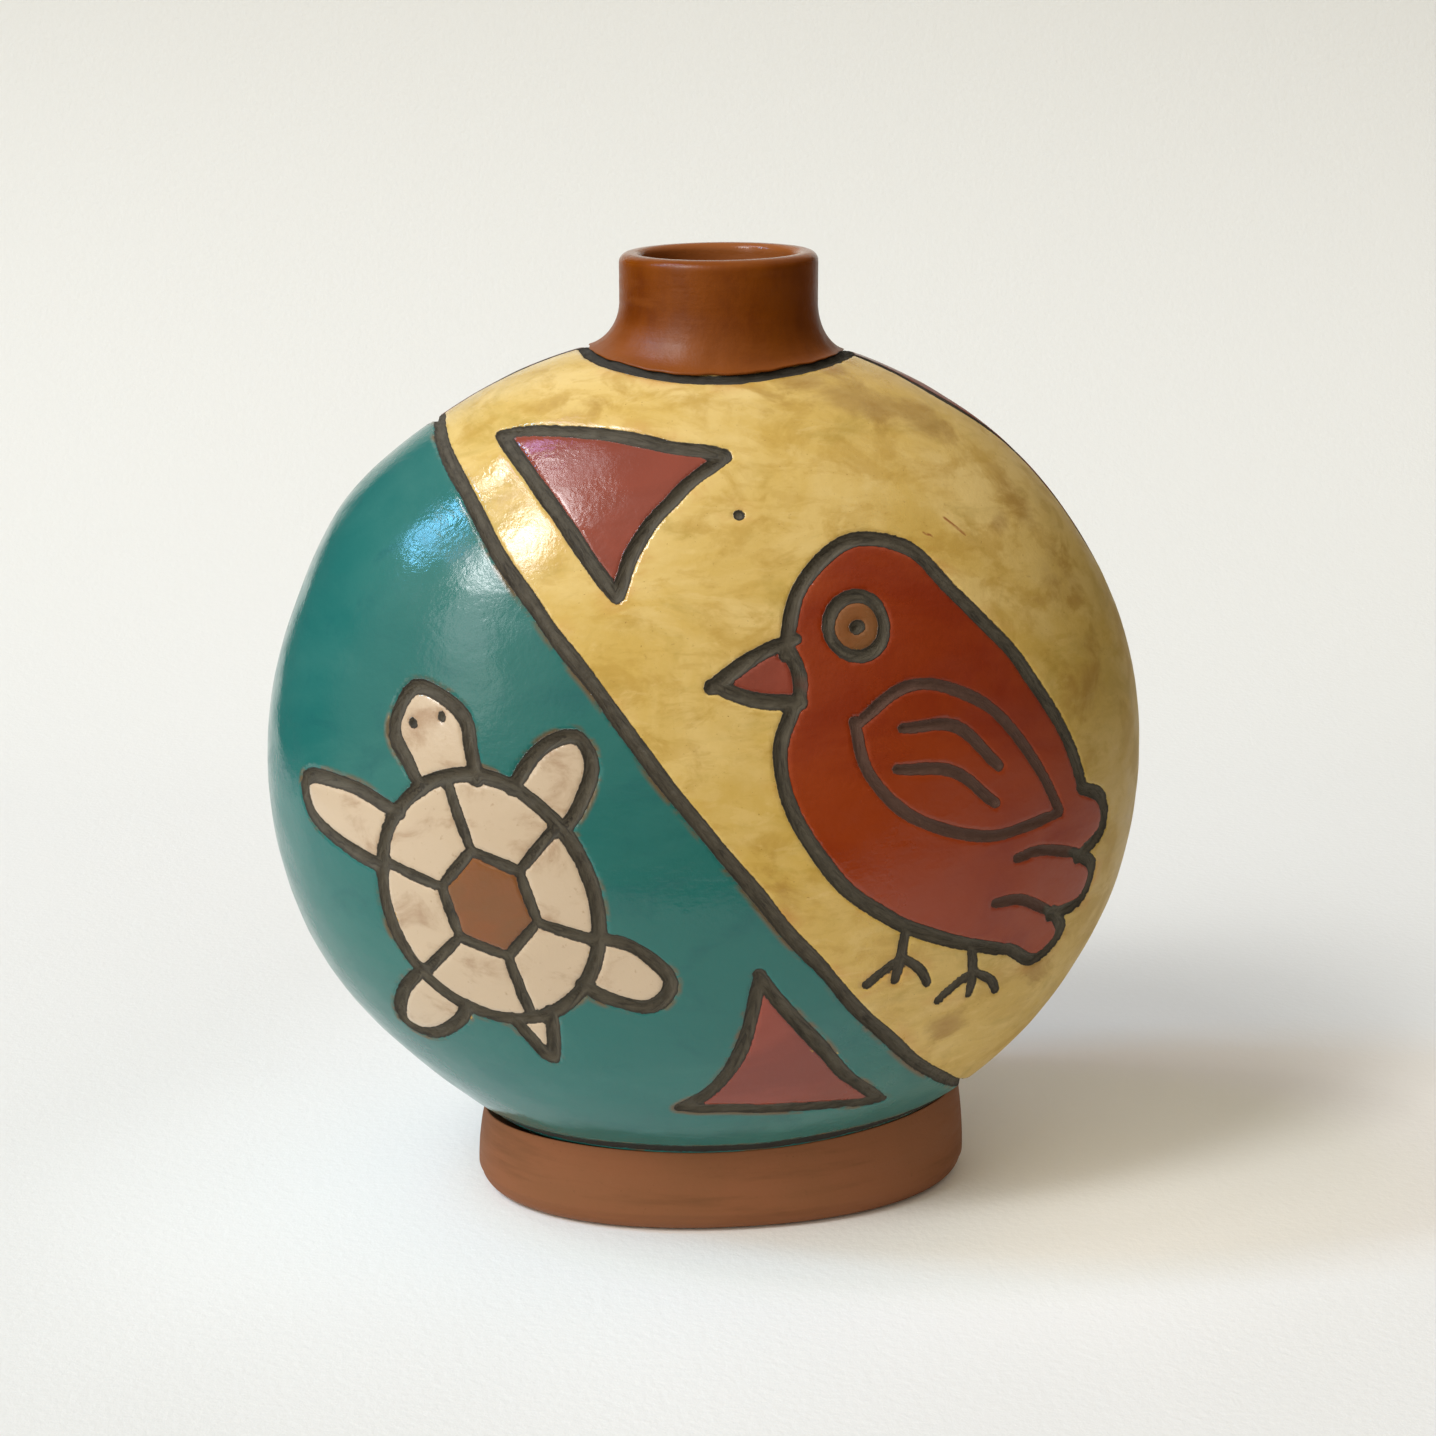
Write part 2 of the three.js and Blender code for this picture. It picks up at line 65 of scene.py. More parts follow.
# Body. Two shallow bowls of clay, pressed over a form and set rim to rim. The outside is
# scraped, painted with coloured slips, rubbed with a pebble until it shines, and then cut
# with a blunt tool. The cuts are filled with a dark, dull pigment.
HALF_WIDTH = 76.1
HALF_DEPTH = 50.6
RISE = 74.1  # from the widest level up to the crown
DROP = 74.4  # from the widest level down to where the belly would close
CENTRE = 77.3  # height of the widest level
BASE = 6.0  # the belly is patted flat at this height
FLOOR = 11.0  # height of the floor inside
WALL = 4.5
FULLNESS = 2.21  # 2 is an ellipse in section, more is a flatter face and a rounder edge
SWELL = (1.25, 2.49, 0.19)  # height, place as an angle from +X, and spread
TUCK = (1.55, 3.98, 0.25)
NECK_X = 2.05
MOUTH = 13.05
ROWS, COLUMNS = 300, 600  # of the outside, from the hole to the middle of the base
INNER_ROWS, INNER_COLUMNS = 60, 100
UNDER_FOOT = (36, 21)  # half length and half width of the plain base, which needs few rows


def bell(angle, place, spread):
    """1 at a place on the rim, falling to 0 on both sides as a bell curve does."""
    turn = np.arctan2(np.sin(angle - place), np.cos(angle - place))
    return np.exp(-((turn / spread) ** 2))


def press(points, grow=0.0, floor=BASE):
    """Moves points along lines from the body's centre on to its surface.

    On the surface, reach to the power FULLNESS and the square of depth over half depth add up
    to 1, where reach is how far out a point lies in its plane beside the rim outline, an
    ellipse with a swell and a tuck. The factor along each line is found by Newton's method,
    and what falls below the floor is raised to it.
    """
    x, y, z = points[..., 0], points[..., 1], points[..., 2] - CENTRE
    across, deep = HALF_WIDTH + grow, HALF_DEPTH + grow
    up, down = RISE + grow, DROP + grow
    angle = np.arctan2(z / up, x / across)
    for _ in range(2):
        tall = down + (up - down) * (1 + np.sin(angle)) / 2
        angle = np.arctan2(z / tall, x / across)
    swell = SWELL[0] * bell(angle, *SWELL[1:])
    tuck = TUCK[0] * bell(angle, *TUCK[1:])
    reach = np.hypot(x / across, z / tall) / (1 + (swell - tuck) / HALF_WIDTH)
    depth = np.abs(y) / deep
    factor = 1 / np.maximum(np.hypot(reach, depth), 1e-9)
    for _ in range(5):
        value = (factor * reach) ** FULLNESS + (factor * depth) ** 2 - 1
        slope = (FULLNESS * (factor * reach) ** FULLNESS + 2 * (factor * depth) ** 2) / factor
        factor = factor - value / slope
    pressed = np.stack([x * factor, y * factor, z * factor + CENTRE], -1)
    pressed[..., 2] = np.maximum(pressed[..., 2], floor)
    return pressed


def height_over(x, y, side):
    """Height of the body's top (side 1) or underside (side -1) over points of the plan."""
    reach = (1 - np.minimum(1, np.abs(y) / HALF_DEPTH) ** 2) ** (1 / FULLNESS)
    across = np.minimum(1, np.abs(x) / (HALF_WIDTH * reach))
    return CENTRE + side * (RISE if side > 0 else DROP) * reach * np.sqrt(1 - across ** 2)


def body_grid(rows, columns, grow=0.0, floor=BASE):
    """The body's surface as rows from the hole under the neck down to the base, by columns.

    Column angles share out the widest level evenly, starting at the right rim and turning
    through the back. Each column runs from the hole's edge, which stands off centre, down to
    the lowest point, with its rows at even distances, wider apart under the foot.
    """
    fine = np.linspace(0, math.pi, 2001)
    level = press(np.stack([np.cos(fine), np.sin(fine), 0 * fine + CENTRE], -1), grow, floor)
    length = np.insert(np.cumsum(np.linalg.norm(np.diff(level, axis=0), axis=1)), 0, 0)
    half = np.interp(np.linspace(0, length[-1], columns // 2 + 1), length, fine)
    theta = np.concatenate([half[:-1], 2 * math.pi - half[:0:-1]])
    edge = np.stack([NECK_X + MOUTH * np.cos(theta), MOUTH * np.sin(theta)], -1)
    drop = np.hypot(*edge.T) / (RISE + grow)
    start_turn = np.arctan2(edge[:, 1], edge[:, 0])
    start_tilt = np.arctan2(np.hypot(*edge.T), (RISE + grow) * np.sqrt(1 - drop ** 2))
    turn_gap = np.arctan2(np.sin(start_turn - theta), np.cos(start_turn - theta))

    def place(tilt):
        fade = np.clip((tilt - start_tilt) / 0.9, 0, 1)
        turn = theta + turn_gap * (1 - fade * fade * (3 - 2 * fade))
        out = np.sin(tilt)
        way = np.stack([out * np.cos(turn), out * np.sin(turn), np.cos(tilt)], -1)
        return press(way + [0, 0, CENTRE], grow, floor)

    share = np.linspace(0, 1, 500)[:, None]
    tilts = start_tilt + (math.pi - start_tilt) * share
    trial = place(tilts)
    step = np.linalg.norm(np.diff(trial, axis=0), axis=2)
    plain = np.hypot(trial[1:, :, 0] / UNDER_FOOT[0], trial[1:, :, 1] / UNDER_FOOT[1]) < 1
    step = step * np.where(plain & (trial[1:, :, 2] < CENTRE), 0.3, 1.0)
    run = np.vstack([np.zeros(columns), np.cumsum(step, axis=0)])
    wanted = np.linspace(0, 1, rows + 1)
    chosen = np.stack([np.interp(wanted, run[:, j] / run[-1, j], tilts[:, j])
                       for j in range(columns)], 1)
    grid = place(chosen)
    grid[:, [0, columns // 2], 1] = 0
    return grid


def grid_normals(grid):
    """Outward normals of a grid that closes on itself across its columns."""
    along = np.roll(grid, -1, axis=1) - np.roll(grid, 1, axis=1)
    down = np.gradient(grid, axis=0)
    normal = np.cross(down, along)
    normal[-1] = (0, 0, -1)
    return normal / np.maximum(np.linalg.norm(normal, axis=-1, keepdims=True), 1e-12)


def waves(points, size, seed):
    """Smooth lumps between about -1 and 1: a sum of plane waves in random directions."""
    dice = np.random.default_rng(seed)
    total = np.zeros(points.shape[:-1])
    for _ in range(9):
        way = dice.normal(size=3)
        way *= 2 * math.pi / size * dice.uniform(0.6, 1.4) / np.linalg.norm(way)
        total += np.sin(points @ way + dice.uniform(0, 2 * math.pi))
    return total / 4


def front(*places):
    """Points of the front face, given as across and height, at their place on the surface."""
    return face_points(places, -1)


def back(*places):
    """Points of the back face, given as across and height as seen from the front."""
    return face_points(places, 1)


def face_points(places, side):
    """Depth over a face: half depth times the root of 1 less reach to the power FULLNESS."""
    plan = np.array(places, float)
    reach = np.minimum(1, np.hypot(plan[:, 0] / HALF_WIDTH, (plan[:, 1] - CENTRE) / DROP))
    depth = side * HALF_DEPTH * np.sqrt(1 - reach ** FULLNESS)
    return np.stack([plan[:, 0], depth, plan[:, 1]], -1)


def full_turn(count):
    """Angles shared out evenly round a full turn."""
    return np.linspace(0, 2 * math.pi, count, endpoint=False)


def curve(points, closed=False, step=1.5):
    """A smooth path through points on the body: a Catmull-Rom curve pressed on to it."""
    points = np.asarray(points, float)
    if closed:
        padded = np.vstack([points[-1], points, points[:2]])
    else:
        padded = np.vstack([2 * points[0] - points[1], points, 2 * points[-1] - points[-2]])
    t = np.linspace(0, 1, 24, endpoint=False)[:, None]
    a, b, c, d = padded[:-3, None], padded[1:-2, None], padded[2:-1, None], padded[3:, None]
    dense = 0.5 * (2 * b + (c - a) * t + (2 * a - 5 * b + 4 * c - d) * t ** 2
                   + (3 * b - a - 3 * c + d) * t ** 3)
    dense = press(np.vstack([dense.reshape(-1, 3), padded[-2]]))
    run = np.insert(np.cumsum(np.linalg.norm(np.diff(dense, axis=0), axis=1)), 0, 0)
    at = np.linspace(0, run[-1], max(2, round(run[-1] / step) + 1))
    return press(np.stack([np.interp(at, run, dense[:, k]) for k in range(3)], -1))


def oval(place, across, tall, turn=0.0, count=14):
    """Points round an oval on a face, as pairs of across and height."""
    angle = full_turn(count)
    x, z = across * np.cos(angle), tall * np.sin(angle)
    cos, sin = math.cos(turn), math.sin(turn)
    return [(place[0] + u * cos - v * sin, place[1] + u * sin + v * cos) for u, v in zip(x, z)]


# The design on the body, in millimetres across and up. A wide line is a main outline, a
# narrow one is a detail inside a figure. Hand-cut lines run past each other at the corners.
WIDE, NARROW = 1.22, 0.98  # half widths
DEEP, SHALLOW = 0.8, 0.6
WALL_SHARE = 0.62  # of the half width, over which a cut goes down to its floor
SHOULDER_WIDTH, SHOULDER_DEPTH = 0.7, 0.03  # the rounding of the slip beside a cut
LINE_REACH = 5.0  # how far from a cut line its distance is still worked out
CUTS = []  # each is (path, half width, depth)


def cut(points, closed=False, half=WIDE, depth=DEEP):
    """Adds a line to be cut along a curve through the points, and gives its path back."""
    path = curve(points, closed)
    path = press(path + 0.16 * waves(path, 14, len(CUTS))[:, None])
    CUTS.append((path, half, depth))
    return path


def strokes(place, *lines, half=WIDE, depth=DEEP):
    """Cuts one line after another, each given as points of a face, and gives their paths."""
    return [cut(place(*line), half=half, depth=depth) for line in lines]


# The neck line runs round the collar, and the foot line in the crease above the foot.
COLLAR_X, COLLAR_RADIUS = 1.3, 20.9


def collar_plan(angle, offset):
    """A point of the collar's plan: a circle with small waves in its radius, one and two to
    the turn, which make it an oval. The front right is drawn in and the front left let out."""
    radius = COLLAR_RADIUS + 0.4 * np.cos(angle) + 0.24 * np.sin(angle)
    radius = radius + 0.58 * np.cos(2 * angle) + 0.9 * np.sin(2 * angle) * (angle > math.pi)
    radius = radius + offset
    return COLLAR_X + radius * np.cos(angle), radius * np.sin(angle)


ring_x, ring_y = collar_plan(full_turn(48), 0.85)
cut(np.stack([ring_x, ring_y, height_over(ring_x, ring_y, 1)], -1), closed=True, half=1.15)

FOOT_LENGTH, FOOT_WIDTH = 86.8, 57.4
FOOT_SQUARENESS = 2.12  # 2 is an ellipse
FOOT_TURN = 0.035  # in radians
FOOT_PLACE = (2.6, -0.5)
FOOT_WAIST = 0.6  # how far the side is drawn in at its top


def foot_plan(angle, offset):
    """A point of the foot's plan: a superellipse, grown by an offset and turned a little."""
    cos, sin = np.cos(angle), np.sin(angle)
    x = (FOOT_LENGTH / 2 + offset) * np.sign(cos) * np.abs(cos) ** (2 / FOOT_SQUARENESS)
    y = (FOOT_WIDTH / 2 + offset) * np.sign(sin) * np.abs(sin) ** (2 / FOOT_SQUARENESS)
    turn_cos, turn_sin = math.cos(FOOT_TURN), math.sin(FOOT_TURN)
    return (FOOT_PLACE[0] + x * turn_cos - y * turn_sin,
            FOOT_PLACE[1] + x * turn_sin + y * turn_cos)


crease_x, crease_y = foot_plan(full_turn(72), 0.35)
cut(np.stack([crease_x, crease_y, height_over(crease_x, crease_y, -1)], -1),
    closed=True, half=1.25, depth=0.6)

# The dividing line comes over the left shoulder from the back and falls to the foot.
divider = cut(np.vstack([
    [(-45.4, 1.2, 136.8)],
    front((-45, 137.2), (-43.4, 132.6), (-40.1, 127.4), (-35.3, 119.2), (-28.9, 110.7),
          (-22.4, 102), (-14.7, 91.6), (-5.5, 79.2), (4, 67.2), (14, 54.4),
          (24.8, 41.1), (32.8, 32), (41.1, 23.6), (45.5, 19.2))]))
back_divider = cut(np.vstack([
    [(-45, 0, 137.2), (-45.8, 3, 136.4)],
    back((-45.5, 131), (-42, 120), (-32, 106), (-18, 90), (-4, 74),
         (10, 57), (24, 40), (34, 27), (38, 20))]))
# The edge line of the back runs just behind the shoulders and down the right side.
right_edge = cut(np.array([
    (24.3, -2.6, 148.3), (32.2, -5.2, 144.2), (38, -7, 141.3), (43.6, -6.2, 138),
    (48.9, -4.3, 134), (53.8, -3.8, 129.6), (58.2, -4.5, 124.8), (62.2, -5.3, 119.5),
    (65.7, -5.6, 114), (69, -4, 107), (72.5, 1, 98), (73.5, 7, 86),
    (72, 12, 74), (68, 15, 60), (61, 15, 45), (52, 13, 31),
    (44, 10, 19)]))
left_edge = cut(np.array([
    (-18.4, 2.2, 149.2), (-28.4, 2, 145.9), (-37.9, 1.8, 141.5), (-46, 1.6, 136.4)]))

# Plain triangles, one on each field of the front, each side cut with a stroke of its own.
high_triangle = strokes(
    front,
    ((-35.2, 137), (-32, 137.6), (-25.6, 138.2), (-19.4, 138), (-13.2, 137.2), (-7, 136),
     (0, 135.1)),
    ((0.3, 134.9), (-5.5, 131.4), (-8.7, 128.5), (-11.8, 125.7), (-14, 122.8),
     (-15.7, 119.9), (-17.6, 114.6)),
    ((-17.8, 114.5), (-21.8, 119.7), (-25.9, 125.4), (-30.2, 130.8), (-35, 137)))
low_triangle = strokes(
    front,
    ((4.3, 53.6), (3.1, 45.2), (1.1, 37.3), (-3, 30.6), (-7.6, 27)),
    ((-8, 26.9), (0, 26.6), (5.5, 26.1), (15.8, 25.5), (26.9, 24.9)),
    ((27, 24.8), (21, 30.9), (13.7, 40.4), (7.4, 48.7), (4.2, 53.6)))

# A plump bird on the ochre field. Back, tail of three feathers and belly go round its body.
bird = strokes(
    front,
    ((8.2, 105.5), (10.8, 115.5), (19, 122), (28.5, 120.5), (37, 112.5), (46.5, 102.5),
     (54.5, 91), (59.4, 78.5)),
    ((59, 79), (63.6, 76), (64.2, 70.4), (59.2, 66.6)),
    ((59.2, 67.4), (62.6, 64), (61, 58.2), (54.6, 57.2)),
    ((55, 58), (57, 52.8), (52.2, 49.2), (46.6, 53)),
    ((47.6, 52.6), (38, 55.8), (27, 61), (16.5, 69.5), (9.4, 80.5), (7.2, 90.5),
     (9.8, 98.6)))
beak = strokes(
    front,
    ((9.8, 107.8), (3.4, 105.4), (-3.6, 100.8)),
    ((-3.6, 101.2), (3.4, 98.8), (10.6, 98.2)),
    ((10.4, 98), (10.2, 102.6), (8, 107.2)))
# Its wing, the feathers on it and the roots of the tail.
strokes(
    front,
    ((19.4, 94.4), (28.5, 100), (40, 96.4), (49.5, 86), (55, 75.8)),
    ((55.2, 75.8), (42.5, 74.2), (30, 78.2), (21.5, 86), (19.2, 95)),
    ((27, 93.4), (35.5, 92.6), (43.5, 85.6)),
    ((26, 87), (34.5, 85.8), (43, 79.6)),
    ((59.4, 67.2), (52.5, 70), (47.5, 69.6)),
    ((54.6, 58), (48.5, 61.6), (43.5, 62)),
    half=NARROW, depth=SHALLOW)
EYE_PLACE = (19.8, 109.4)
eye_ring = cut(front(*oval(EYE_PLACE, 4.6, 4.8)), closed=True, half=1.05, depth=SHALLOW)
cut(front(EYE_PLACE, (20.2, 109.6)), half=1.15, depth=DEEP)
# Its legs and toes.
strokes(
    front,
    ((28, 60.2), (27.4, 54.2), (26.8, 50.6)), ((27.6, 54.8), (24.2, 52.2), (22, 50.4)),
    ((27.6, 54.8), (31, 51.8), (32.4, 49.2)), ((39.6, 55.4), (40.4, 49.2), (40.2, 45.4)),
    ((40.4, 50), (36.8, 47.4), (34.8, 45.4)), ((40.4, 50), (44, 47.4), (45.4, 45)),
    half=0.9, depth=SHALLOW)

# A turtle on the teal field, seen from above with its head up. Its own axes are turned.
TURTLE_PLACE, TURTLE_TURN, TURTLE_SCALE = (-38.5, 65), 0.30, 1.08
SHELL_ACROSS, SHELL_ALONG = 15.5, 20.0


def on_turtle(*places):
    """Points of the turtle's own drawing, carried to the front face."""
    cos, sin = math.cos(TURTLE_TURN), math.sin(TURTLE_TURN)
    plan = TURTLE_SCALE * np.array(places, float)
    return front(*[(TURTLE_PLACE[0] + u * cos - v * sin, TURTLE_PLACE[1] + u * sin + v * cos)
                   for u, v in plan])


shell = cut(on_turtle(*oval((0, 0), SHELL_ACROSS, SHELL_ALONG)), closed=True)
turtle_limbs = strokes(
    on_turtle,
    ((-4.2, 18.6), (-4.8, 23), (-5.2, 28.5), (0, 33.5), (5.2, 28.5), (4.8, 23), (4.2, 18.6)),
    ((8.6, 16), (14.5, 20.8), (20, 21.2), (21, 16.5), (17, 11), (13.6, 8.2)),
    ((-8.6, 16), (-15, 21.2), (-21.5, 22.4), (-22.5, 17), (-17.5, 11.2), (-13.6, 8.2)),
    ((13.4, -8.6), (18.5, -12), (22, -18.5), (18, -22), (12, -19), (9, -15.8)),
    ((-13.4, -8.6), (-18, -12.5), (-20.5, -18.5), (-17, -21.5), (-11.5, -19), (-9, -15.8)),
    ((-3, -19.2), (-1.4, -24), (0.4, -28), (2, -24), (3.2, -19)))
HEXAGON = [(0, 8.6), (6, 4.2), (6, -4.2), (0, -8.6), (-6, -4.2), (-6, 4.2)]
scute = strokes(on_turtle, *zip(HEXAGON, HEXAGON[1:] + HEXAGON[:1]), half=NARROW, depth=SHALLOW)
for u, v in HEXAGON:
    out = 1 / math.hypot(u / SHELL_ACROSS, v / SHELL_ALONG)
    cut(on_turtle((u, v), (u * out, v * out)), half=NARROW, depth=SHALLOW)
turtle_eyes = [((side * 2.2, 28.4), (side * 2.3, 28.7)) for side in (-1, 1)]
strokes(on_turtle, *turtle_eyes, half=0.75, depth=SHALLOW)

# The back, out of sight of the camera: a plain triangle on each of its fields.
back_triangles = [
    strokes(back, *zip(corners, corners[1:] + corners[:1])) for corners in (
        ((-62, 78), (-36, 88), (-44, 56)), ((4, 122), (30, 128), (-2, 138)))]
# A pinhole burnt out beside the bird, and two scratches.
cut(front((1.5, 126.3), (1.7, 126.3)), half=0.8, depth=0.5)
scratches = [curve(front((35.3, 124.5), (38.9, 121.6))), curve(front((31.6, 122.5), (33.2, 121.9)))]
# Where smoke and rubbing left brown clouds on the ochre: across, height, half length, half
# width, tilt in degrees and strength.
SMUDGES = (
    (23, 141.6, 10, 2.6, -14, 1), (34, 138.2, 7, 2.6, -28, 0.9),
    (14, 144.8, 6, 1.8, -4, 0.8), (19.5, 146.2, 3, 1.2, -8, 0.8),
    (6, 142, 6, 2.2, 4, 0.4), (-22, 141.5, 7, 2, 12, 0.35),
    (49.7, 124.6, 7, 3.5, -48, 0.5), (56, 113, 8, 4.5, -60, 0.55),
    (61, 96, 10, 5, -78, 0.6), (45.5, 122.8, 2.4, 2, 0, 0.65),
    (36.4, 39.8, 4.5, 3, 10, 0.95), (53, 48, 8, 5, 60, 0.5),
    (-6, 92, 5, 3, -50, 0.4), (6, 71, 6, 3, -52, 0.35),
    (22, 47, 5, 3, -50, 0.5), (-3, 117, 6, 3, 20, 0.3))


def line_distance(points, path, half):
    """Distance of points beyond the edge of a line, negative inside it, LINE_REACH at most.

    It is the distance to the nearest stretch of the path less the half width, which swells
    and shrinks a little along the line and narrows at its ends.
    """
    result = np.full(len(points), LINE_REACH)
    along = np.linspace(0, 1, len(path))
    ends = np.minimum(along, 1 - along) * len(path) * 1.5
    closed = np.linalg.norm(path[0] - path[-1]) < 3
    taper = np.ones(len(path)) if closed or len(path) < 4 else 0.8 + 0.2 * np.minimum(1, ends / 3)
    width = half * taper * (1 + 0.07 * waves(path, 9, len(path)))
    for start in range(0, len(path) - 1, 8):
        a, b = path[start:start + 8], path[start + 1:start + 9]
        a, w = a[:len(b)], width[start:start + len(b)]
        margin = LINE_REACH + 2
        low, high = np.minimum(a, b).min(0) - margin, np.maximum(a, b).max(0) + margin
        near = np.nonzero(np.all((points > low) & (points < high), axis=1))[0]
        if len(near) == 0:
            continue
        offset = points[near, None] - a
        run = b - a
        t = np.clip((offset * run).sum(-1) / np.maximum((run * run).sum(-1), 1e-9), 0, 1)
        gap = np.linalg.norm(offset - t[..., None] * run, axis=-1) - w
        result[near] = np.minimum(result[near], gap.min(1))
    return result


def inside(points, outline):
    """True where points lie inside an outline, both seen from the front, by even and odd."""
    x, z = points[:, 0], points[:, 2]
    odd = np.zeros(len(points), bool)
    for (x0, z0), (x1, z1) in zip(outline, np.roll(outline, -1, axis=0)):
        if z0 == z1:
            continue
        crossed = (z0 > z) != (z1 > z)
        odd ^= crossed & (x < (x1 - x0) * (z - z0) / (z1 - z0) + x0)
    return odd


def region(points, side, paths, corners=()):
    """How far inside a painted region points lie, negative outside, LINE_REACH at most.

    The region is bounded by paths end to end, on one side of the body, and by corners that
    lie beyond the rim.
    """
    outline = np.vstack([path[:, [0, 2]] for path in paths] + [np.array(corners).reshape(-1, 2)])
    gap = np.full(len(points), LINE_REACH)
    for path in paths:
        gap = np.minimum(gap, line_distance(points, path, 0.0))
    within = inside(points, outline) & (points[:, 1] * side > -1e-6)
    return np.where(within, gap, -gap)


def any_region(points, side, outlines):
    """How far inside the nearest of several regions points lie, each bounded by its paths."""
    return np.maximum.reduce([region(points, side, paths) for paths in outlines])


def behind(points, path, elsewhere):
    """How far behind an edge line points lie: their depth less the line's own depth where it
    passes the same angle round the rim, LINE_REACH at most. Past its ends it is elsewhere."""
    angle = np.arctan2(points[:, 2] - CENTRE, points[:, 0])
    turn = np.arctan2(path[:, 2] - CENTRE, path[:, 0])
    order = np.argsort(turn)
    past = np.clip(points[:, 1] - np.interp(angle, turn[order], path[order, 1]),
                   -LINE_REACH, LINE_REACH)
    return np.where((angle > turn.min()) & (angle < turn.max()), past, elsewhere)


def design(points, side):
    """Cut depth, line distance and the distance inside each slip, for one half of the body."""
    edge = np.full(len(points), LINE_REACH)
    sunk = np.zeros(len(points))
    ragged = 0.11 * waves(points, 2.6, 71)
    for path, half, depth in CUTS:
        gap = line_distance(points, path, half)
        edge = np.minimum(edge, gap)
        wall = np.clip(-(gap + ragged) / (WALL_SHARE * half), 0, 1)
        shoulder = np.clip(1 - (gap + ragged) / SHOULDER_WIDTH, 0, 1) ** 2
        sunk = np.maximum(sunk, (depth - SHOULDER_DEPTH) * wall * wall * (3 - 2 * wall)
                          + SHOULDER_DEPTH * shoulder)
    nowhere = np.full(len(points), -LINE_REACH)
    slips = {name: nowhere for name in (
        "teal", "brick", "red", "rose", "cream", "ember", "smudge", "scratch")}
    if side < 0:
        cloud = np.zeros(len(points))
        for x, z, length, width, tilt, strength in SMUDGES:
            cos, sin = math.cos(math.radians(tilt)), math.sin(math.radians(tilt))
            run = (points[:, 0] - x) * cos + (points[:, 2] - z) * sin
            off = (points[:, 2] - z) * cos - (points[:, 0] - x) * sin
            cloud = np.maximum(cloud, strength * np.exp(-(run / length) ** 2 - (off / width) ** 2))
        slips["smudge"] = cloud
        slips["teal"] = region(points, side, [divider], [(120, -20), (-120, -20), (-120, 137)])
        slips["red"] = region(points, side, bird)
        slips["rose"] = any_region(points, side, [high_triangle, low_triangle, beak])
        slips["cream"] = any_region(points, side, [[shell]] + [[limb] for limb in turtle_limbs])
        slips["ember"] = any_region(points, side, [scute, [eye_ring]])
        slips["scratch"] = np.maximum.reduce(
            [0.3 - line_distance(points, path, 0.0) for path in scratches])
        slips["brick"] = behind(points, right_edge, -LINE_REACH)
    else:
        slips["teal"] = region(points, side, [back_divider], [(38, -20), (-120, -20), (-120, 137)])
        slips["brick"] = np.minimum.reduce([
            -slips["teal"], behind(points, right_edge, LINE_REACH),
            behind(points, left_edge, LINE_REACH)])
        slips["rose"] = any_region(points, side, back_triangles)
    return edge, sunk, slips


def half_body(name, side, material, inside_material):
    """One bowl as a closed shell: outer and inner grids, joined at the rim and the hole."""
    def half(grid):
        columns = grid.shape[1]
        first = 0 if side > 0 else columns // 2
        chosen = np.take(grid, np.arange(first, first + columns // 2 + 1), axis=1, mode="wrap")
        return np.vstack([chosen[:-1].reshape(-1, 3), chosen[-1:, 0]])

    points = np.vstack([half(outer_grid), half(inner_grid)])
    normals = np.vstack([half(outer_normals), -half(inner_normals)])

    def numbers(rows, columns, first):
        index = np.arange(rows * (columns // 2 + 1)).reshape(rows, -1) + first
        pole = np.full((1, columns // 2 + 1), index[-1, -1] + 1)
        return np.vstack([index, pole])

    out = numbers(ROWS, COLUMNS, 0)
    into = numbers(INNER_ROWS, INNER_COLUMNS, out[-1, 0] + 1)

    def quads(index):
        corners = [index[:-1, :-1], index[1:, :-1], index[1:, 1:], index[:-1, 1:]]
        faces = np.stack(corners, -1).reshape(-1, 4).tolist()
        return [face if face[1] != face[2] else [face[0], face[1], face[3]] for face in faces]

    def strip(fine, coarse):
        ratio = (len(fine) - 1) // (len(coarse) - 1)
        return [list(fine[k * ratio:(k + 1) * ratio + 1]) + [coarse[k + 1], coarse[k]]
                for k in range(len(coarse) - 1)]

    outer_faces = quads(out)
    rest = quads(into[:, ::-1])
    for fine, coarse in ((out[:, 0], into[:, 0]), (out[:, -1], into[:, -1]), (out[0], into[0])):
        rest += strip(fine.tolist(), coarse.tolist())
    mesh = bpy.data.meshes.new(name)
    mesh.from_pydata((points * MM).tolist(), [], outer_faces + rest)
    mesh.materials.append(material)
    mesh.materials.append(inside_material)
    slots = np.array([0] * len(outer_faces) + [1] * len(rest), np.int32)
    mesh.polygons.foreach_set("material_index", slots)
    piece = finish_mesh(name, mesh, normals)

    outside = np.arange(len(points)) <= out[-1, 0]
    lines, _, slips = design(half(flat_grid), side)
    for label, values in {"line": lines, **slips}.items():
        whole = np.full(len(points), LINE_REACH if label == "line" else -LINE_REACH)
        whole[outside] = values
        kept = mesh.attributes.new(label, "FLOAT", "POINT")
        kept.data.foreach_set("value", whole.astype(np.float32))
    return piece


def finish_mesh(name, mesh, normals=None):
    """Turns the faces of a closed mesh outwards, smooths it and puts it into the scene."""
    work = bmesh.new()
    work.from_mesh(mesh)
    bmesh.ops.recalc_face_normals(work, faces=work.faces)
    work.to_mesh(mesh)
    work.free()
    mesh.polygons.foreach_set("use_smooth", np.ones(len(mesh.polygons), bool))
    if normals is not None:
        mesh.normals_split_custom_set_from_vertices(normals.tolist())
    mesh.update()
    return add_object(name, mesh)


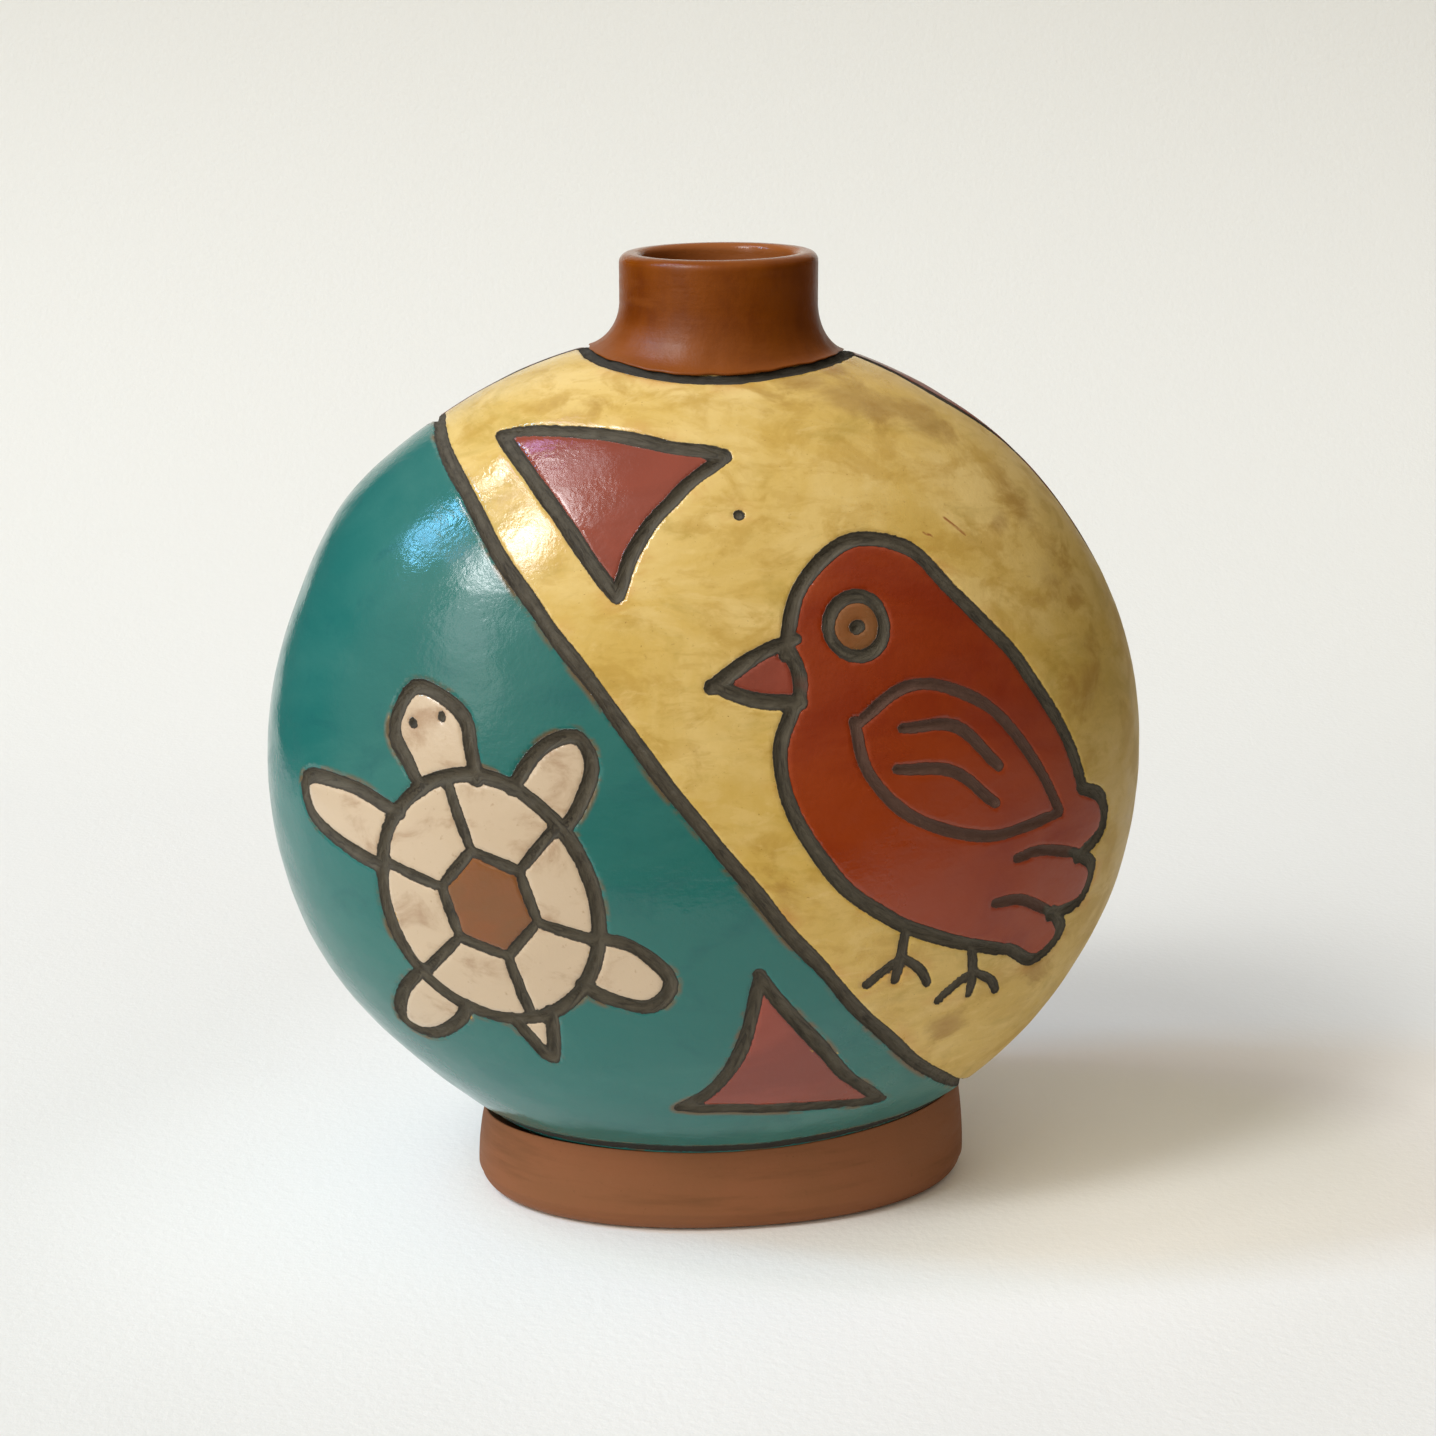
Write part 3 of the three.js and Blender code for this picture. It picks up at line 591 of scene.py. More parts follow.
flat_grid = body_grid(ROWS, COLUMNS)
flat_normals = grid_normals(flat_grid)
inner_grid = body_grid(INNER_ROWS, INNER_COLUMNS, -WALL, FLOOR)
inner_normals = grid_normals(inner_grid)
sunk_grid = np.zeros(flat_grid.shape[:2])
for side, columns in ((1, slice(0, COLUMNS // 2)), (-1, slice(COLUMNS // 2, COLUMNS))):
    part = flat_grid[:, columns]
    sunk_grid[:, columns] = design(part.reshape(-1, 3), side)[1].reshape(part.shape[:2])
# Rubbing leaves broad, barely seen dents, and the tool leaves chatter along the cuts.
dents = 0.09 * waves(flat_grid, 26, 5) + 0.035 * waves(flat_grid, 9, 6)
chatter = 0.06 * waves(flat_grid, 2.4, 7) * np.clip(sunk_grid / DEEP, 0, 1)
outer_grid = flat_grid + flat_normals * (dents + chatter - sunk_grid)[..., None]
outer_grid[:, [0, COLUMNS // 2], 1] = 0
outer_normals = grid_normals(outer_grid)


def srgb(red, green, blue):
    """A colour given as the 0 to 255 values of a picture, as the linear values of a shader."""
    share = np.array([red, green, blue]) / 255
    linear = np.where(share < 0.04045, share / 12.92, ((share + 0.055) / 1.055) ** 2.4)
    return (*linear, 1.0)


def feed(tree, socket, value):
    """Links another node's output to a socket, or sets the socket's own value."""
    if isinstance(value, bpy.types.NodeSocket):
        tree.links.new(value, socket)
    else:
        socket.default_value = value


def vector_node(tree, operation, first, second=(0, 0, 0)):
    """One operation on places or directions."""
    made = tree.nodes.new("ShaderNodeVectorMath")
    made.operation = operation
    feed(tree, made.inputs[0], first)
    feed(tree, made.inputs[1], second)
    return made


def coordinates(tree):
    """Place on the flask, in millimetres."""
    place = tree.nodes.new("ShaderNodeTexCoord").outputs["Object"]
    return vector_node(tree, "MULTIPLY", place, (1 / MM, 1 / MM, 1 / MM)).outputs[0]


def noise(tree, place, size, stretch=(1, 1, 1), detail=4.0, roughness=0.55, warp=0.0):
    """Soft noise from 0 to 1 with lumps about size millimetres across, longer if stretched."""
    scaled = tree.nodes.new("ShaderNodeMapping")
    feed(tree, scaled.inputs["Vector"], place)
    scaled.inputs["Scale"].default_value = [1 / (size * s) for s in stretch]
    texture = tree.nodes.new("ShaderNodeTexNoise")
    feed(tree, texture.inputs["Vector"], scaled.outputs[0])
    texture.inputs["Scale"].default_value = 1.0
    texture.inputs["Detail"].default_value = detail
    texture.inputs["Roughness"].default_value = roughness
    texture.inputs["Distortion"].default_value = warp
    return texture.outputs["Fac"]


def math_node(tree, operation, first, second=0.0, third=0.0):
    """One sum, product or other operation on numbers."""
    made = tree.nodes.new("ShaderNodeMath")
    made.operation = operation
    for socket, value in zip(made.inputs, (first, second, third)):
        feed(tree, socket, value)
    return made.outputs[0]


def rise(tree, value, low, high, least=0.0, most=1.0):
    """Goes smoothly from least to most as a value goes from low to high."""
    made = tree.nodes.new("ShaderNodeMapRange")
    made.interpolation_type = "SMOOTHSTEP"
    for socket, given in zip(made.inputs, (value, low, high, least, most)):
        feed(tree, socket, given)
    return made.outputs[0]


def mix(tree, factor, first, second):
    """Two colours laid over each other by a factor."""
    made = tree.nodes.new("ShaderNodeMix")
    made.data_type = "RGBA"
    feed(tree, made.inputs["Factor"], factor)
    feed(tree, made.inputs[6], first)
    feed(tree, made.inputs[7], second)
    return made.outputs[2]


def coats(tree, colour, *layers):
    """Thin coats over a colour: each hides more of it as its number goes from low to high."""
    for slip, number, low, high, most in layers:
        colour = mix(tree, rise(tree, number, low, high, 0, most), colour, slip)
    return colour


def unsettled(tree, value, *lumps):
    """A value with noise added to it, each noise given with how far it spreads in all."""
    for number, spread in lumps:
        uneven = math_node(tree, "MULTIPLY_ADD", number, spread, -spread / 2)
        value = math_node(tree, "ADD", value, uneven)
    return value


def separate(tree, vector, axis):
    """One coordinate of a place."""
    made = tree.nodes.new("ShaderNodeSeparateXYZ")
    feed(tree, made.inputs[0], vector)
    return made.outputs[axis]


def new_material(name):
    """A node material with one Principled shader, and its tree."""
    material = bpy.data.materials.new(name)
    material.use_nodes = True
    tree = material.node_tree
    return material, tree, tree.nodes["Principled BSDF"]


def bump(tree, *terms):
    """A normal from a height in millimetres, the sum of numbers times their own rise."""
    height = 0.0
    for number, rising in terms:
        height = math_node(tree, "MULTIPLY_ADD", number, rising, height)
    made = tree.nodes.new("ShaderNodeBump")
    made.inputs["Strength"].default_value = 1.0
    made.inputs["Distance"].default_value = MM
    feed(tree, made.inputs["Height"], height)
    return made.outputs[0]


def finish_material(tree, shader, colour, roughness, specular, *terms):
    """Feeds the shader with a colour, a roughness, how much it mirrors and its relief."""
    feed(tree, shader.inputs["Base Color"], colour)
    feed(tree, shader.inputs["Roughness"], roughness)
    shader.inputs["Specular IOR Level"].default_value = specular
    feed(tree, shader.inputs["Normal"], bump(tree, *terms))


OCHRE = srgb(212, 176, 90)
OCHRE_PALE = srgb(229, 198, 126)
OCHRE_DEEP = srgb(190, 150, 62)
STAIN = srgb(148, 104, 40)
OLIVE = srgb(166, 136, 44)
HALO = srgb(198, 128, 58)
TEAL = srgb(34, 108, 102)
TEAL_PALE = srgb(60, 122, 114)
TEAL_DEEP = srgb(20, 94, 94)
CLAY_EDGE = srgb(112, 84, 50)
RED = srgb(150, 55, 6)
RED_DEEP = srgb(134, 40, 0)
ROSE = srgb(150, 68, 50)
ROSE_DEEP = srgb(132, 58, 42)
CREAM = srgb(210, 187, 158)
CREAM_STAIN = srgb(164, 128, 96)
EMBER = srgb(150, 80, 34)
BRICK = srgb(118, 48, 22)
PIGMENT = srgb(76, 69, 56)
PIGMENT_DARK = srgb(32, 28, 22)
PIGMENT_PALE = srgb(100, 93, 78)
MAUVE = srgb(92, 60, 48)


def attribute(tree, name):
    """A number kept on the mesh."""
    made = tree.nodes.new("ShaderNodeAttribute")
    made.attribute_name = name
    return made.outputs["Fac"]


def painted(name):
    """Burnished slips in their fields, laid one over another, and dull pigment in the cuts."""
    material, tree, shader = new_material(name)
    place = coordinates(tree)
    brushed = (1.5, 1.2, 0.9)
    clouds = noise(tree, place, 24, brushed, detail=5, roughness=0.6, warp=0.8)
    patches = noise(tree, place, 8, (1.3, 1.2, 0.9), detail=6, roughness=0.62, warp=0.5)
    streaks = noise(tree, place, 4, (4.0, 2.0, 0.6), detail=4, roughness=0.6)
    fine = noise(tree, place, 1.1, detail=3, roughness=0.6)
    grain = noise(tree, place, 0.45, detail=2, roughness=0.5)
    line = attribute(tree, "line")

    def field(label):
        edge = unsettled(tree, attribute(tree, label), (patches, 0.9), (fine, 0.5))
        return rise(tree, edge, -0.12, 0.12)

    wiped = noise(tree, place, 3.2, (2.4, 1.6, 0.8), detail=4, roughness=0.6, warp=0.6)
    wide = noise(tree, place, 15, (1.6, 1.2, 0.8), detail=5, roughness=0.66, warp=1.0)
    smoke = unsettled(tree, attribute(tree, "smudge"), (patches, 1.5))
    across = separate(tree, place, "X")
    # The olive coat that grows with across, from 30 to 74 mm, darkens the ochre towards the right
    # side: painted shade on the side turned from the window.
    ochre = coats(tree, OCHRE,
                  (OCHRE_PALE, clouds, 0.36, 0.66, 1), (OCHRE_DEEP, patches, 0.48, 0.64, 0.6),
                  (OCHRE_DEEP, wiped, 0.52, 0.64, 0.3), (OCHRE_PALE, wiped, 0.44, 0.34, 0.35),
                  (OLIVE, wide, 0.5, 0.72, 0.45), (OLIVE, across, 30, 74, 0.4),
                  (STAIN, smoke, 0.22, 0.7, 0.45), (STAIN, smoke, 0.6, 1.1, 0.3),
                  (STAIN, fine, 0.66, 0.78, 0.3), (STAIN, grain, 0.71, 0.77, 0.6))
    halo = math_node(tree, "MULTIPLY", rise(tree, line, 3.4, 0.2),
                     rise(tree, wide, 0.5, 0.3, 0, 0.4))
    ochre = mix(tree, halo, ochre, HALO)
    teal = coats(tree, TEAL, (TEAL_PALE, clouds, 0.4, 0.72, 0.5),
                 (TEAL_DEEP, patches, 0.5, 0.78, 0.6))
    scraped = math_node(tree, "MULTIPLY", rise(tree, line, 1.1, 0.1),
                        rise(tree, patches, 0.46, 0.6, 0, 0.85))
    teal = mix(tree, scraped, teal, CLAY_EDGE)
    brick = coats(tree, BRICK, (RED_DEEP, clouds, 0.4, 0.7, 1))
    red = coats(tree, RED, (RED_DEEP, clouds, 0.38, 0.66, 1))
    rose = coats(tree, ROSE, (ROSE_DEEP, clouds, 0.36, 0.64, 1))
    cream = coats(tree, CREAM, (CREAM_STAIN, patches, 0.5, 0.74, 0.7),
                  (CREAM_STAIN, fine, 0.64, 0.76, 0.45))
    ember = mix(tree, patches, EMBER, CLAY_EDGE)

    colour = ochre
    for label, slip in (("teal", teal), ("brick", brick), ("red", red), ("rose", rose),
                        ("cream", cream), ("ember", ember)):
        colour = mix(tree, field(label), colour, slip)
    colour = coats(tree, colour, (EMBER, attribute(tree, "scratch"), -0.05, 0.2, 0.85))

    ragged = unsettled(tree, line, (fine, 0.3), (grain, 0.14))
    filled = rise(tree, ragged, 0.1, -0.06)
    drawn = combed(tree, place, line)
    height = separate(tree, place, "Z")
    in_red = math_node(tree, "MULTIPLY", rise(tree, attribute(tree, "red"), 1.6, 2.6, 0, 0.8),
                       rise(tree, height, 103, 100))
    pigment = coats(tree, PIGMENT, (PIGMENT_PALE, drawn, 0.4, 0.7, 0.6),
                    (PIGMENT_DARK, drawn, 0.48, 0.3, 0.6),
                    (PIGMENT_DARK, line, -0.45, -0.05, 0.6))
    # The pigment is painted darker high up, where the collar shades the neck line, and low down in
    # the crease above the foot: painted shade.
    pigment = coats(tree, mix(tree, in_red, pigment, MAUVE),
                    (PIGMENT_DARK, height, 138, 146, 0.7), (PIGMENT_DARK, height, 23, 19, 0.85))
    colour = mix(tree, filled, colour, pigment)
    chipped = math_node(tree, "MULTIPLY", rise(tree, ragged, 0.45, 0.1),
                        rise(tree, noise(tree, place, 3.4, detail=2), 0.72, 0.76))
    chipped = math_node(tree, "MULTIPLY", chipped, math_node(tree, "SUBTRACT", 1.0, filled))
    colour = mix(tree, chipped, colour, OCHRE_DEEP)

    shine = math_node(tree, "ADD", rise(tree, patches, 0.36, 0.66, 0.11, 0.22),
                      rise(tree, across, 5, 55, 0, 0.34))
    lip = rise(tree, ragged, -0.5, 0.0)
    dimples = noise(tree, place, 2.8, (1.2, 1.2, 0.9), detail=2)
    scored = math_node(tree, "MULTIPLY", drawn, filled)
    finish_material(tree, shader, colour, mix_number(tree, filled, shine, 0.85), 0.5,
                    (lip, 0.07), (fine, 0.05), (dimples, 0.045), (scored, 0.35),
                    (streaks, 0.04), (patches, 0.06))
    return material


def combed(tree, place, line):
    """Fine furrows that run along a cut: noise that changes fast across it and slowly along."""
    moved = vector_node(tree, "MULTIPLY", line, (5, 0, 5)).outputs[0]
    moved = vector_node(tree, "ADD", place, moved).outputs[0]
    return noise(tree, moved, 3.2, detail=5, roughness=0.65)


def mix_number(tree, factor, first, second):
    """Goes from the first number to the second as a factor goes from 0 to 1."""
    made = tree.nodes.new("ShaderNodeMix")
    feed(tree, made.inputs[0], factor)
    feed(tree, made.inputs[2], first)
    feed(tree, made.inputs[3], second)
    return made.outputs[0]


CLAY = srgb(156, 92, 62)
CLAY_PALE = srgb(182, 122, 88)
CLAY_SMOKE = srgb(104, 66, 48)


def bare_clay(name):
    """Fired clay as the fingers left it: dull, grainy, with smoke stains and grit."""
    material, tree, shader = new_material(name)
    place = coordinates(tree)
    wiped = noise(tree, place, 14, (1.6, 1.6, 0.7), detail=5, roughness=0.6)
    grit = noise(tree, place, 0.7, detail=3, roughness=0.7)
    colour = coats(tree, CLAY, (CLAY_PALE, wiped, 0.35, 0.7, 1),
                   (CLAY_SMOKE, wiped, 0.5, 0.3, 0.7), (CLAY_SMOKE, grit, 0.62, 0.75, 0.5))
    finish_material(tree, shader, colour, rise(tree, grit, 0.3, 0.7, 0.72, 0.9), 0.5,
                    (wiped, 0.25), (grit, 0.12))
    return material


raw_clay = bare_clay("bare_clay")
slips_material = painted("burnished_slips")
front_body = half_body("front_bowl_painted", -1, slips_material, raw_clay)
back_body = half_body("back_bowl_painted", 1, slips_material, raw_clay)
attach(front_body, "root")
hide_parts("front_bowl")
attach(back_body, "root")
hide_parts("back_bowl")

# Neck. A short tube of the same clay, drawn up from a collar that is smoothed on to the
# shoulder. It has a coat of orange-brown slip, rubbed to a soft shine.
CROWN = CENTRE + RISE
LIP = CROWN + 13.6
NECK_RADIUS = 16.7
LIP_OUTER, LIP_INNER = 1.7, 1.3  # roundings of the lip
LIP_DIP, LIP_DIP_TURN = 1.1, -0.625 * math.pi  # the mouth is lower at the front left
FLARE_TOP = CROWN + 4.8
COLLAR_EDGE = 0.5  # thickness of the collar where it runs out
SEAT_GAP = 0.04  # between two pieces, so that their surfaces don't mix
NECK_STEPS = 288


def ring_piece(name, rings, material):
    """A closed ring: points by section step and by turn, both closing on themselves."""
    steps, turns = rings.shape[:2]
    index = np.arange(steps * turns).reshape(steps, turns)
    right, below = np.roll(index, -1, axis=1), np.roll(index, -1, axis=0)
    corner = np.roll(right, -1, axis=0)
    faces = np.stack([index, below, corner, right], -1).reshape(-1, 4).tolist()
    mesh = bpy.data.meshes.new(name)
    mesh.from_pydata((rings.reshape(-1, 3) * MM).tolist(), [], faces)
    mesh.materials.append(material)
    return finish_mesh(name, mesh)


def quarter(from_angle, to_angle, steps=8):
    """Cosine and sine along an arc, as two columns."""
    angle = np.linspace(from_angle, to_angle, steps)
    return np.stack([np.cos(angle), np.sin(angle)], -1)


def neck_rings():
    """The neck as rings of points, from the bore over the lip and down to the collar.

    Each ring has a radius, a height, a spread and a part. The spread carries its plan from
    the tube's circle, at 0, to the collar's oval, at 1. The flare is a quarter of an ellipse
    laid on the shoulder, whose height differs all the way round, so that it runs out along
    it. The collar's edge is thin at the sides and a little ragged. What stands above the
    flare is sheared so that the mouth dips.
    """
    top = LIP - LIP_INNER
    parts = [(MOUTH, h, 0, "tube") for h in np.linspace(CROWN + 1.0, top, 24)]
    parts += [(MOUTH + LIP_INNER + LIP_INNER * c, top + LIP_INNER * s, 0, "tube")
              for c, s in quarter(math.pi, math.pi / 2)[1:]]
    parts += [(NECK_RADIUS - LIP_OUTER + LIP_OUTER * c, LIP - LIP_OUTER + LIP_OUTER * s, 0, "tube")
              for c, s in quarter(math.pi / 2, 0)]
    parts += [(NECK_RADIUS, h, 0, "tube") for h in np.linspace(LIP - LIP_OUTER, FLARE_TOP, 22)[1:]]
    parts += [(NECK_RADIUS, math.sin(bend), 1 - math.cos(bend), "flare")
              for bend in np.linspace(0, math.pi / 2, 30)[1:]]
    parts += [(NECK_RADIUS, h, 1.02, "edge") for h in (0.8, 0.5, 0.2)]
    parts += [(NECK_RADIUS, 0, spread, "edge") for spread in np.linspace(0.96, 0, 12)]
    turn = full_turn(NECK_STEPS)
    ragged = 0.1 * np.sin(9 * turn + 1) + 0.08 * np.sin(17 * turn + 2) + 0.05 * np.sin(31 * turn)
    collar_x, collar_y = collar_plan(turn, ragged)
    edge = COLLAR_EDGE * (0.2 + 0.8 * np.sin(turn) ** 2)
    crest = NECK_RADIUS - LIP_OUTER
    rings = []
    for radius, height, spread, part in parts:
        round_x, round_y = radius * np.cos(turn), radius * np.sin(turn)
        x = (1 - spread) * (NECK_X + round_x) + spread * collar_x
        y = (1 - spread) * round_y + spread * collar_y
        shoulder = height_over(x, y, 1) + SEAT_GAP
        if part == "tube":
            towards = round_x * math.cos(LIP_DIP_TURN) + round_y * math.sin(LIP_DIP_TURN)
            share = max(0.0, height - FLARE_TOP) / (LIP - FLARE_TOP)
            z = height - share * LIP_DIP * (crest + towards) / (2 * crest)
        elif part == "flare":
            root = height_over(NECK_X + round_x, round_y, 1) + SEAT_GAP
            z = shoulder + edge + (FLARE_TOP - root - edge) * (1 - height)
        else:
            z = shoulder + edge * height
        rings.append(np.stack([x, y, z], -1))
    return np.array(rings)


NECK_SLIP = srgb(130, 64, 0)
NECK_PALE = srgb(140, 74, 18)
NECK_DEEP = srgb(106, 46, 0)
NECK_INNER_LIT = srgb(146, 84, 40)


def neck_slip(name):
    """Orange-brown slip rubbed in rings round the neck, thin and pale at the lip, with painted
    light on the flare and inside.
    """
    material, tree, shader = new_material(name)
    place = coordinates(tree)
    rubbed = noise(tree, place, 5, (3.0, 3.0, 0.5), detail=4, roughness=0.55)
    clouds = noise(tree, place, 12, (1, 1, 1.6), detail=4, roughness=0.6)
    fine = noise(tree, place, 0.9, detail=3, roughness=0.6)
    height = separate(tree, place, "Z")
    across = math_node(tree, "SUBTRACT", separate(tree, place, "X"), NECK_X)
    depth = separate(tree, place, "Y")
    squared = math_node(tree, "MULTIPLY_ADD", depth, depth,
                        math_node(tree, "MULTIPLY", across, across))
    # NECK_PALE by height near the crown is painted light on the flare, and the inner colour is
    # painted light inside the mouth.
    colour = coats(tree, NECK_SLIP, (NECK_DEEP, clouds, 0.35, 0.7, 1),
                   (NECK_PALE, rubbed, 0.5, 0.8, 0.5),
                   (NECK_PALE, height, LIP - 1.6, LIP - 0.2, 0.8),
                   (NECK_PALE, height, CROWN + 3.5, CROWN - 1.5, 0.5),
                   (NECK_DEEP, fine, 0.66, 0.76, 0.4),
                   (NECK_INNER_LIT, squared, 15.0 ** 2, 13.5 ** 2, 0.8))
    shine = math_node(tree, "ADD", rise(tree, rubbed, 0.3, 0.7, 0.0, 0.1),
                      rise(tree, height, LIP - 2.6, LIP - 1.0, 0.34, 0.1))
    finish_material(tree, shader, colour, shine, 0.24, (rubbed, 0.08), (fine, 0.06))
    return material


neck = ring_piece("neck_burnished", neck_rings(), neck_slip("neck_slip"))
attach(neck, "root")
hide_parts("neck")

# Foot. An oval ring of clay under the belly, its top edge scribed to the belly and luted
# there. It is wiped with thin brown slip and only lightly rubbed, so it stays almost dull.
FOOT_WALL = 7.0
FOOT_ROUNDING = 3.0
FOOT_BULGE = 0.6
FOOT_CORNER = 0.5  # rounding under the foot line
TREAD_BEVEL = 1.2  # along the inner edge of the tread
FOOT_STEPS = 360


def foot_rings():
    """The foot as a section of offsets and heights carried round its oval plan.

    The outer face goes from the rounded tread through a slight bulge to a slight waist. Its
    top is a share of the way up to the belly over each point, with a softened corner.
    """
    tread = [(offset, 0.0, "tread") for offset in (-FOOT_WALL + TREAD_BEVEL, -5.0, -4.0)]
    rounding = [(-FOOT_ROUNDING + FOOT_ROUNDING * c + FOOT_BULGE * 0.5 * (1 + s),
                 FOOT_ROUNDING * (1 + s), "tread") for c, s in quarter(-math.pi / 2, 0, 12)]
    outer = [(FOOT_BULGE - (FOOT_BULGE + FOOT_WAIST) * rising ** 2, rising, "outer")
             for rising in np.linspace(0, 1, 26)[1:]]
    corner = [(-FOOT_WAIST - FOOT_CORNER + FOOT_CORNER * c, FOOT_CORNER * s, "corner")
              for c, s in quarter(0, math.pi / 2, 7)[1:]]
    top = [(-offset, 0.0, "top") for offset in np.linspace(FOOT_WAIST + 1.0, FOOT_WALL, 8)]
    inner = [(-FOOT_WALL, 1 - down, "inner") for down in np.linspace(0, 1, 10)[1:]]
    turn = full_turn(FOOT_STEPS)
    edge_x, edge_y = foot_plan(turn, -FOOT_WAIST)
    edge = height_over(edge_x, edge_y, -1) - FOOT_CORNER - SEAT_GAP
    rings = []
    for offset, height, part in tread + rounding + outer + corner + top + inner:
        x, y = foot_plan(turn, offset)
        belly = height_over(x, y, -1) - SEAT_GAP
        if part == "tread":
            z = 0 * x + height
        elif part == "outer":
            z = FOOT_ROUNDING + (edge - FOOT_ROUNDING) * height
        elif part == "corner":
            z = np.minimum(edge + height, belly)
        elif part == "top":
            z = belly
        else:
            z = TREAD_BEVEL + (belly - TREAD_BEVEL) * height
        rings.append(np.stack([x, y, z], -1))
    return np.array(rings)


FOOT_CLAY = srgb(132, 84, 52)
FOOT_WARM = srgb(138, 86, 54)
FOOT_DEEP = srgb(104, 66, 38)


def foot_slip(name):
    """Thin brown slip wiped round the foot with a rag, worn warm at the tread."""
    material, tree, shader = new_material(name)
    place = coordinates(tree)
    wiped = noise(tree, place, 7, (3.4, 3.4, 0.45), detail=4, roughness=0.6)
    clouds = noise(tree, place, 20, detail=4, roughness=0.6)
    fine = noise(tree, place, 0.8, detail=3, roughness=0.6)
    height = separate(tree, place, "Z")
    colour = coats(tree, FOOT_CLAY, (FOOT_WARM, clouds, 0.35, 0.65, 1),
                   (FOOT_DEEP, wiped, 0.5, 0.8, 0.55), (FOOT_WARM, height, 6.0, 1.0, 0.45),
                   (FOOT_DEEP, fine, 0.64, 0.76, 0.35))
    finish_material(tree, shader, colour, rise(tree, wiped, 0.3, 0.7, 0.56, 0.7), 0.2,
                    (wiped, 0.08), (fine, 0.05))
    return material


foot = ring_piece("foot_wiped", foot_rings(), foot_slip("foot_slip"))
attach(foot, "root")
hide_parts("foot_ring")

# Luting coils. Soft clay worked into the seams from inside, and into the corner under the
# foot. They are bare, and fired with the rest.
for coil in ("body_seam_coil", "neck_seam_coil", "foot_seam_coil"):
    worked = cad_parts[coil].data
    worked.materials.clear()
    worked.materials.append(raw_clay)

# Surroundings. A sheet of pale paper bends up behind the flask. It is not much wider than
# the view, and the room beyond it is dim. A tall window stands on the left, with small panes
# of sky beside it, and the walls and the ceiling give soft light.
# The paper is painted lighter near the flask, as painted light, and greyer far off, as painted
# shade.
PAPER_NEAR_LIT = srgb(252, 251, 247)
PAPER = srgb(231, 230, 225)
PAPER_FAR = srgb(226, 225, 219)
SHEET_FRONT, SHEET_BEND, SHEET_RADIUS, SHEET_TOP = -190.0, 250.0, 350.0, 900.0
SHEET_LEFT, SHEET_RIGHT = -345.0, 420.0


def sheet():
    """A floor that bends up into a wall: a flat run, a quarter circle and an upright run."""
    bend = np.linspace(0, math.pi / 2, 40)
    y = np.concatenate([[SHEET_FRONT], SHEET_BEND + SHEET_RADIUS * np.sin(bend),
                        [SHEET_BEND + SHEET_RADIUS]])
    z = np.concatenate([[0.0], SHEET_RADIUS * (1 - np.cos(bend)), [SHEET_TOP]])
    x = np.array([SHEET_LEFT, SHEET_RIGHT])
    points = np.stack([np.tile(x, len(y)), np.repeat(y, 2), np.repeat(z, 2)], -1)
    faces = [(2 * k, 2 * k + 1, 2 * k + 3, 2 * k + 2) for k in range(len(y) - 1)]
    mesh = bpy.data.meshes.new("paper_sheet")
    mesh.from_pydata((points * MM).tolist(), [], faces)
    mesh.polygons.foreach_set("use_smooth", np.ones(len(faces), bool))
    return add_object("paper_sheet", mesh)


def paper_material(name):
    """Drawing paper: dull, with a faint grain, painted lighter near the flask as painted light and
    greyer away from it as painted shade.
    """
    material, tree, shader = new_material(name)
    place = coordinates(tree)
    grain = noise(tree, place, 1.6, detail=3, roughness=0.6)
    cloud = noise(tree, place, 140, detail=2, roughness=0.5)
    away = vector_node(tree, "LENGTH", place).outputs["Value"]
    far = math_node(tree, "MULTIPLY_ADD", cloud, 60, away)
    colour = coats(tree, PAPER_NEAR_LIT, (PAPER, far, 70, 170, 1), (PAPER_FAR, far, 240, 520, 1))
    finish_material(tree, shader, colour, 0.9, 0.1, (grain, 0.12))
    return material


backdrop = sheet()
backdrop.data.materials.append(paper_material("paper"))

AIM = np.array([0.0, 0.0, 90.0])
PANE_DISTANCE = 5000.0


def direction(azimuth, elevation):
    """A direction from the flask in degrees, with azimuth from the back (+Y) to the right."""
    turn, lift = math.radians(azimuth), math.radians(elevation)
    return np.array([math.sin(turn) * math.cos(lift), math.cos(turn) * math.cos(lift),
                     math.sin(lift)])


def pane(name, azimuth, elevation, width, height, radiance, colour):
    """A bright rectangle that faces the flask, with its sizes as angles in degrees."""
    lamp = bpy.data.lights.new(name, "AREA")
    lamp.shape = "RECTANGLE"
    lamp.size = 2 * PANE_DISTANCE * MM * math.tan(math.radians(width / 2))
    lamp.size_y = 2 * PANE_DISTANCE * MM * math.tan(math.radians(height / 2))
    lamp.energy = radiance * math.pi * lamp.size * lamp.size_y
    lamp.color = colour
    made = add_object(name, lamp)
    made.location = (AIM + direction(azimuth, elevation) * PANE_DISTANCE) * MM
    made.rotation_euler = (math.radians(90 - elevation), 0, math.pi - math.radians(azimuth))


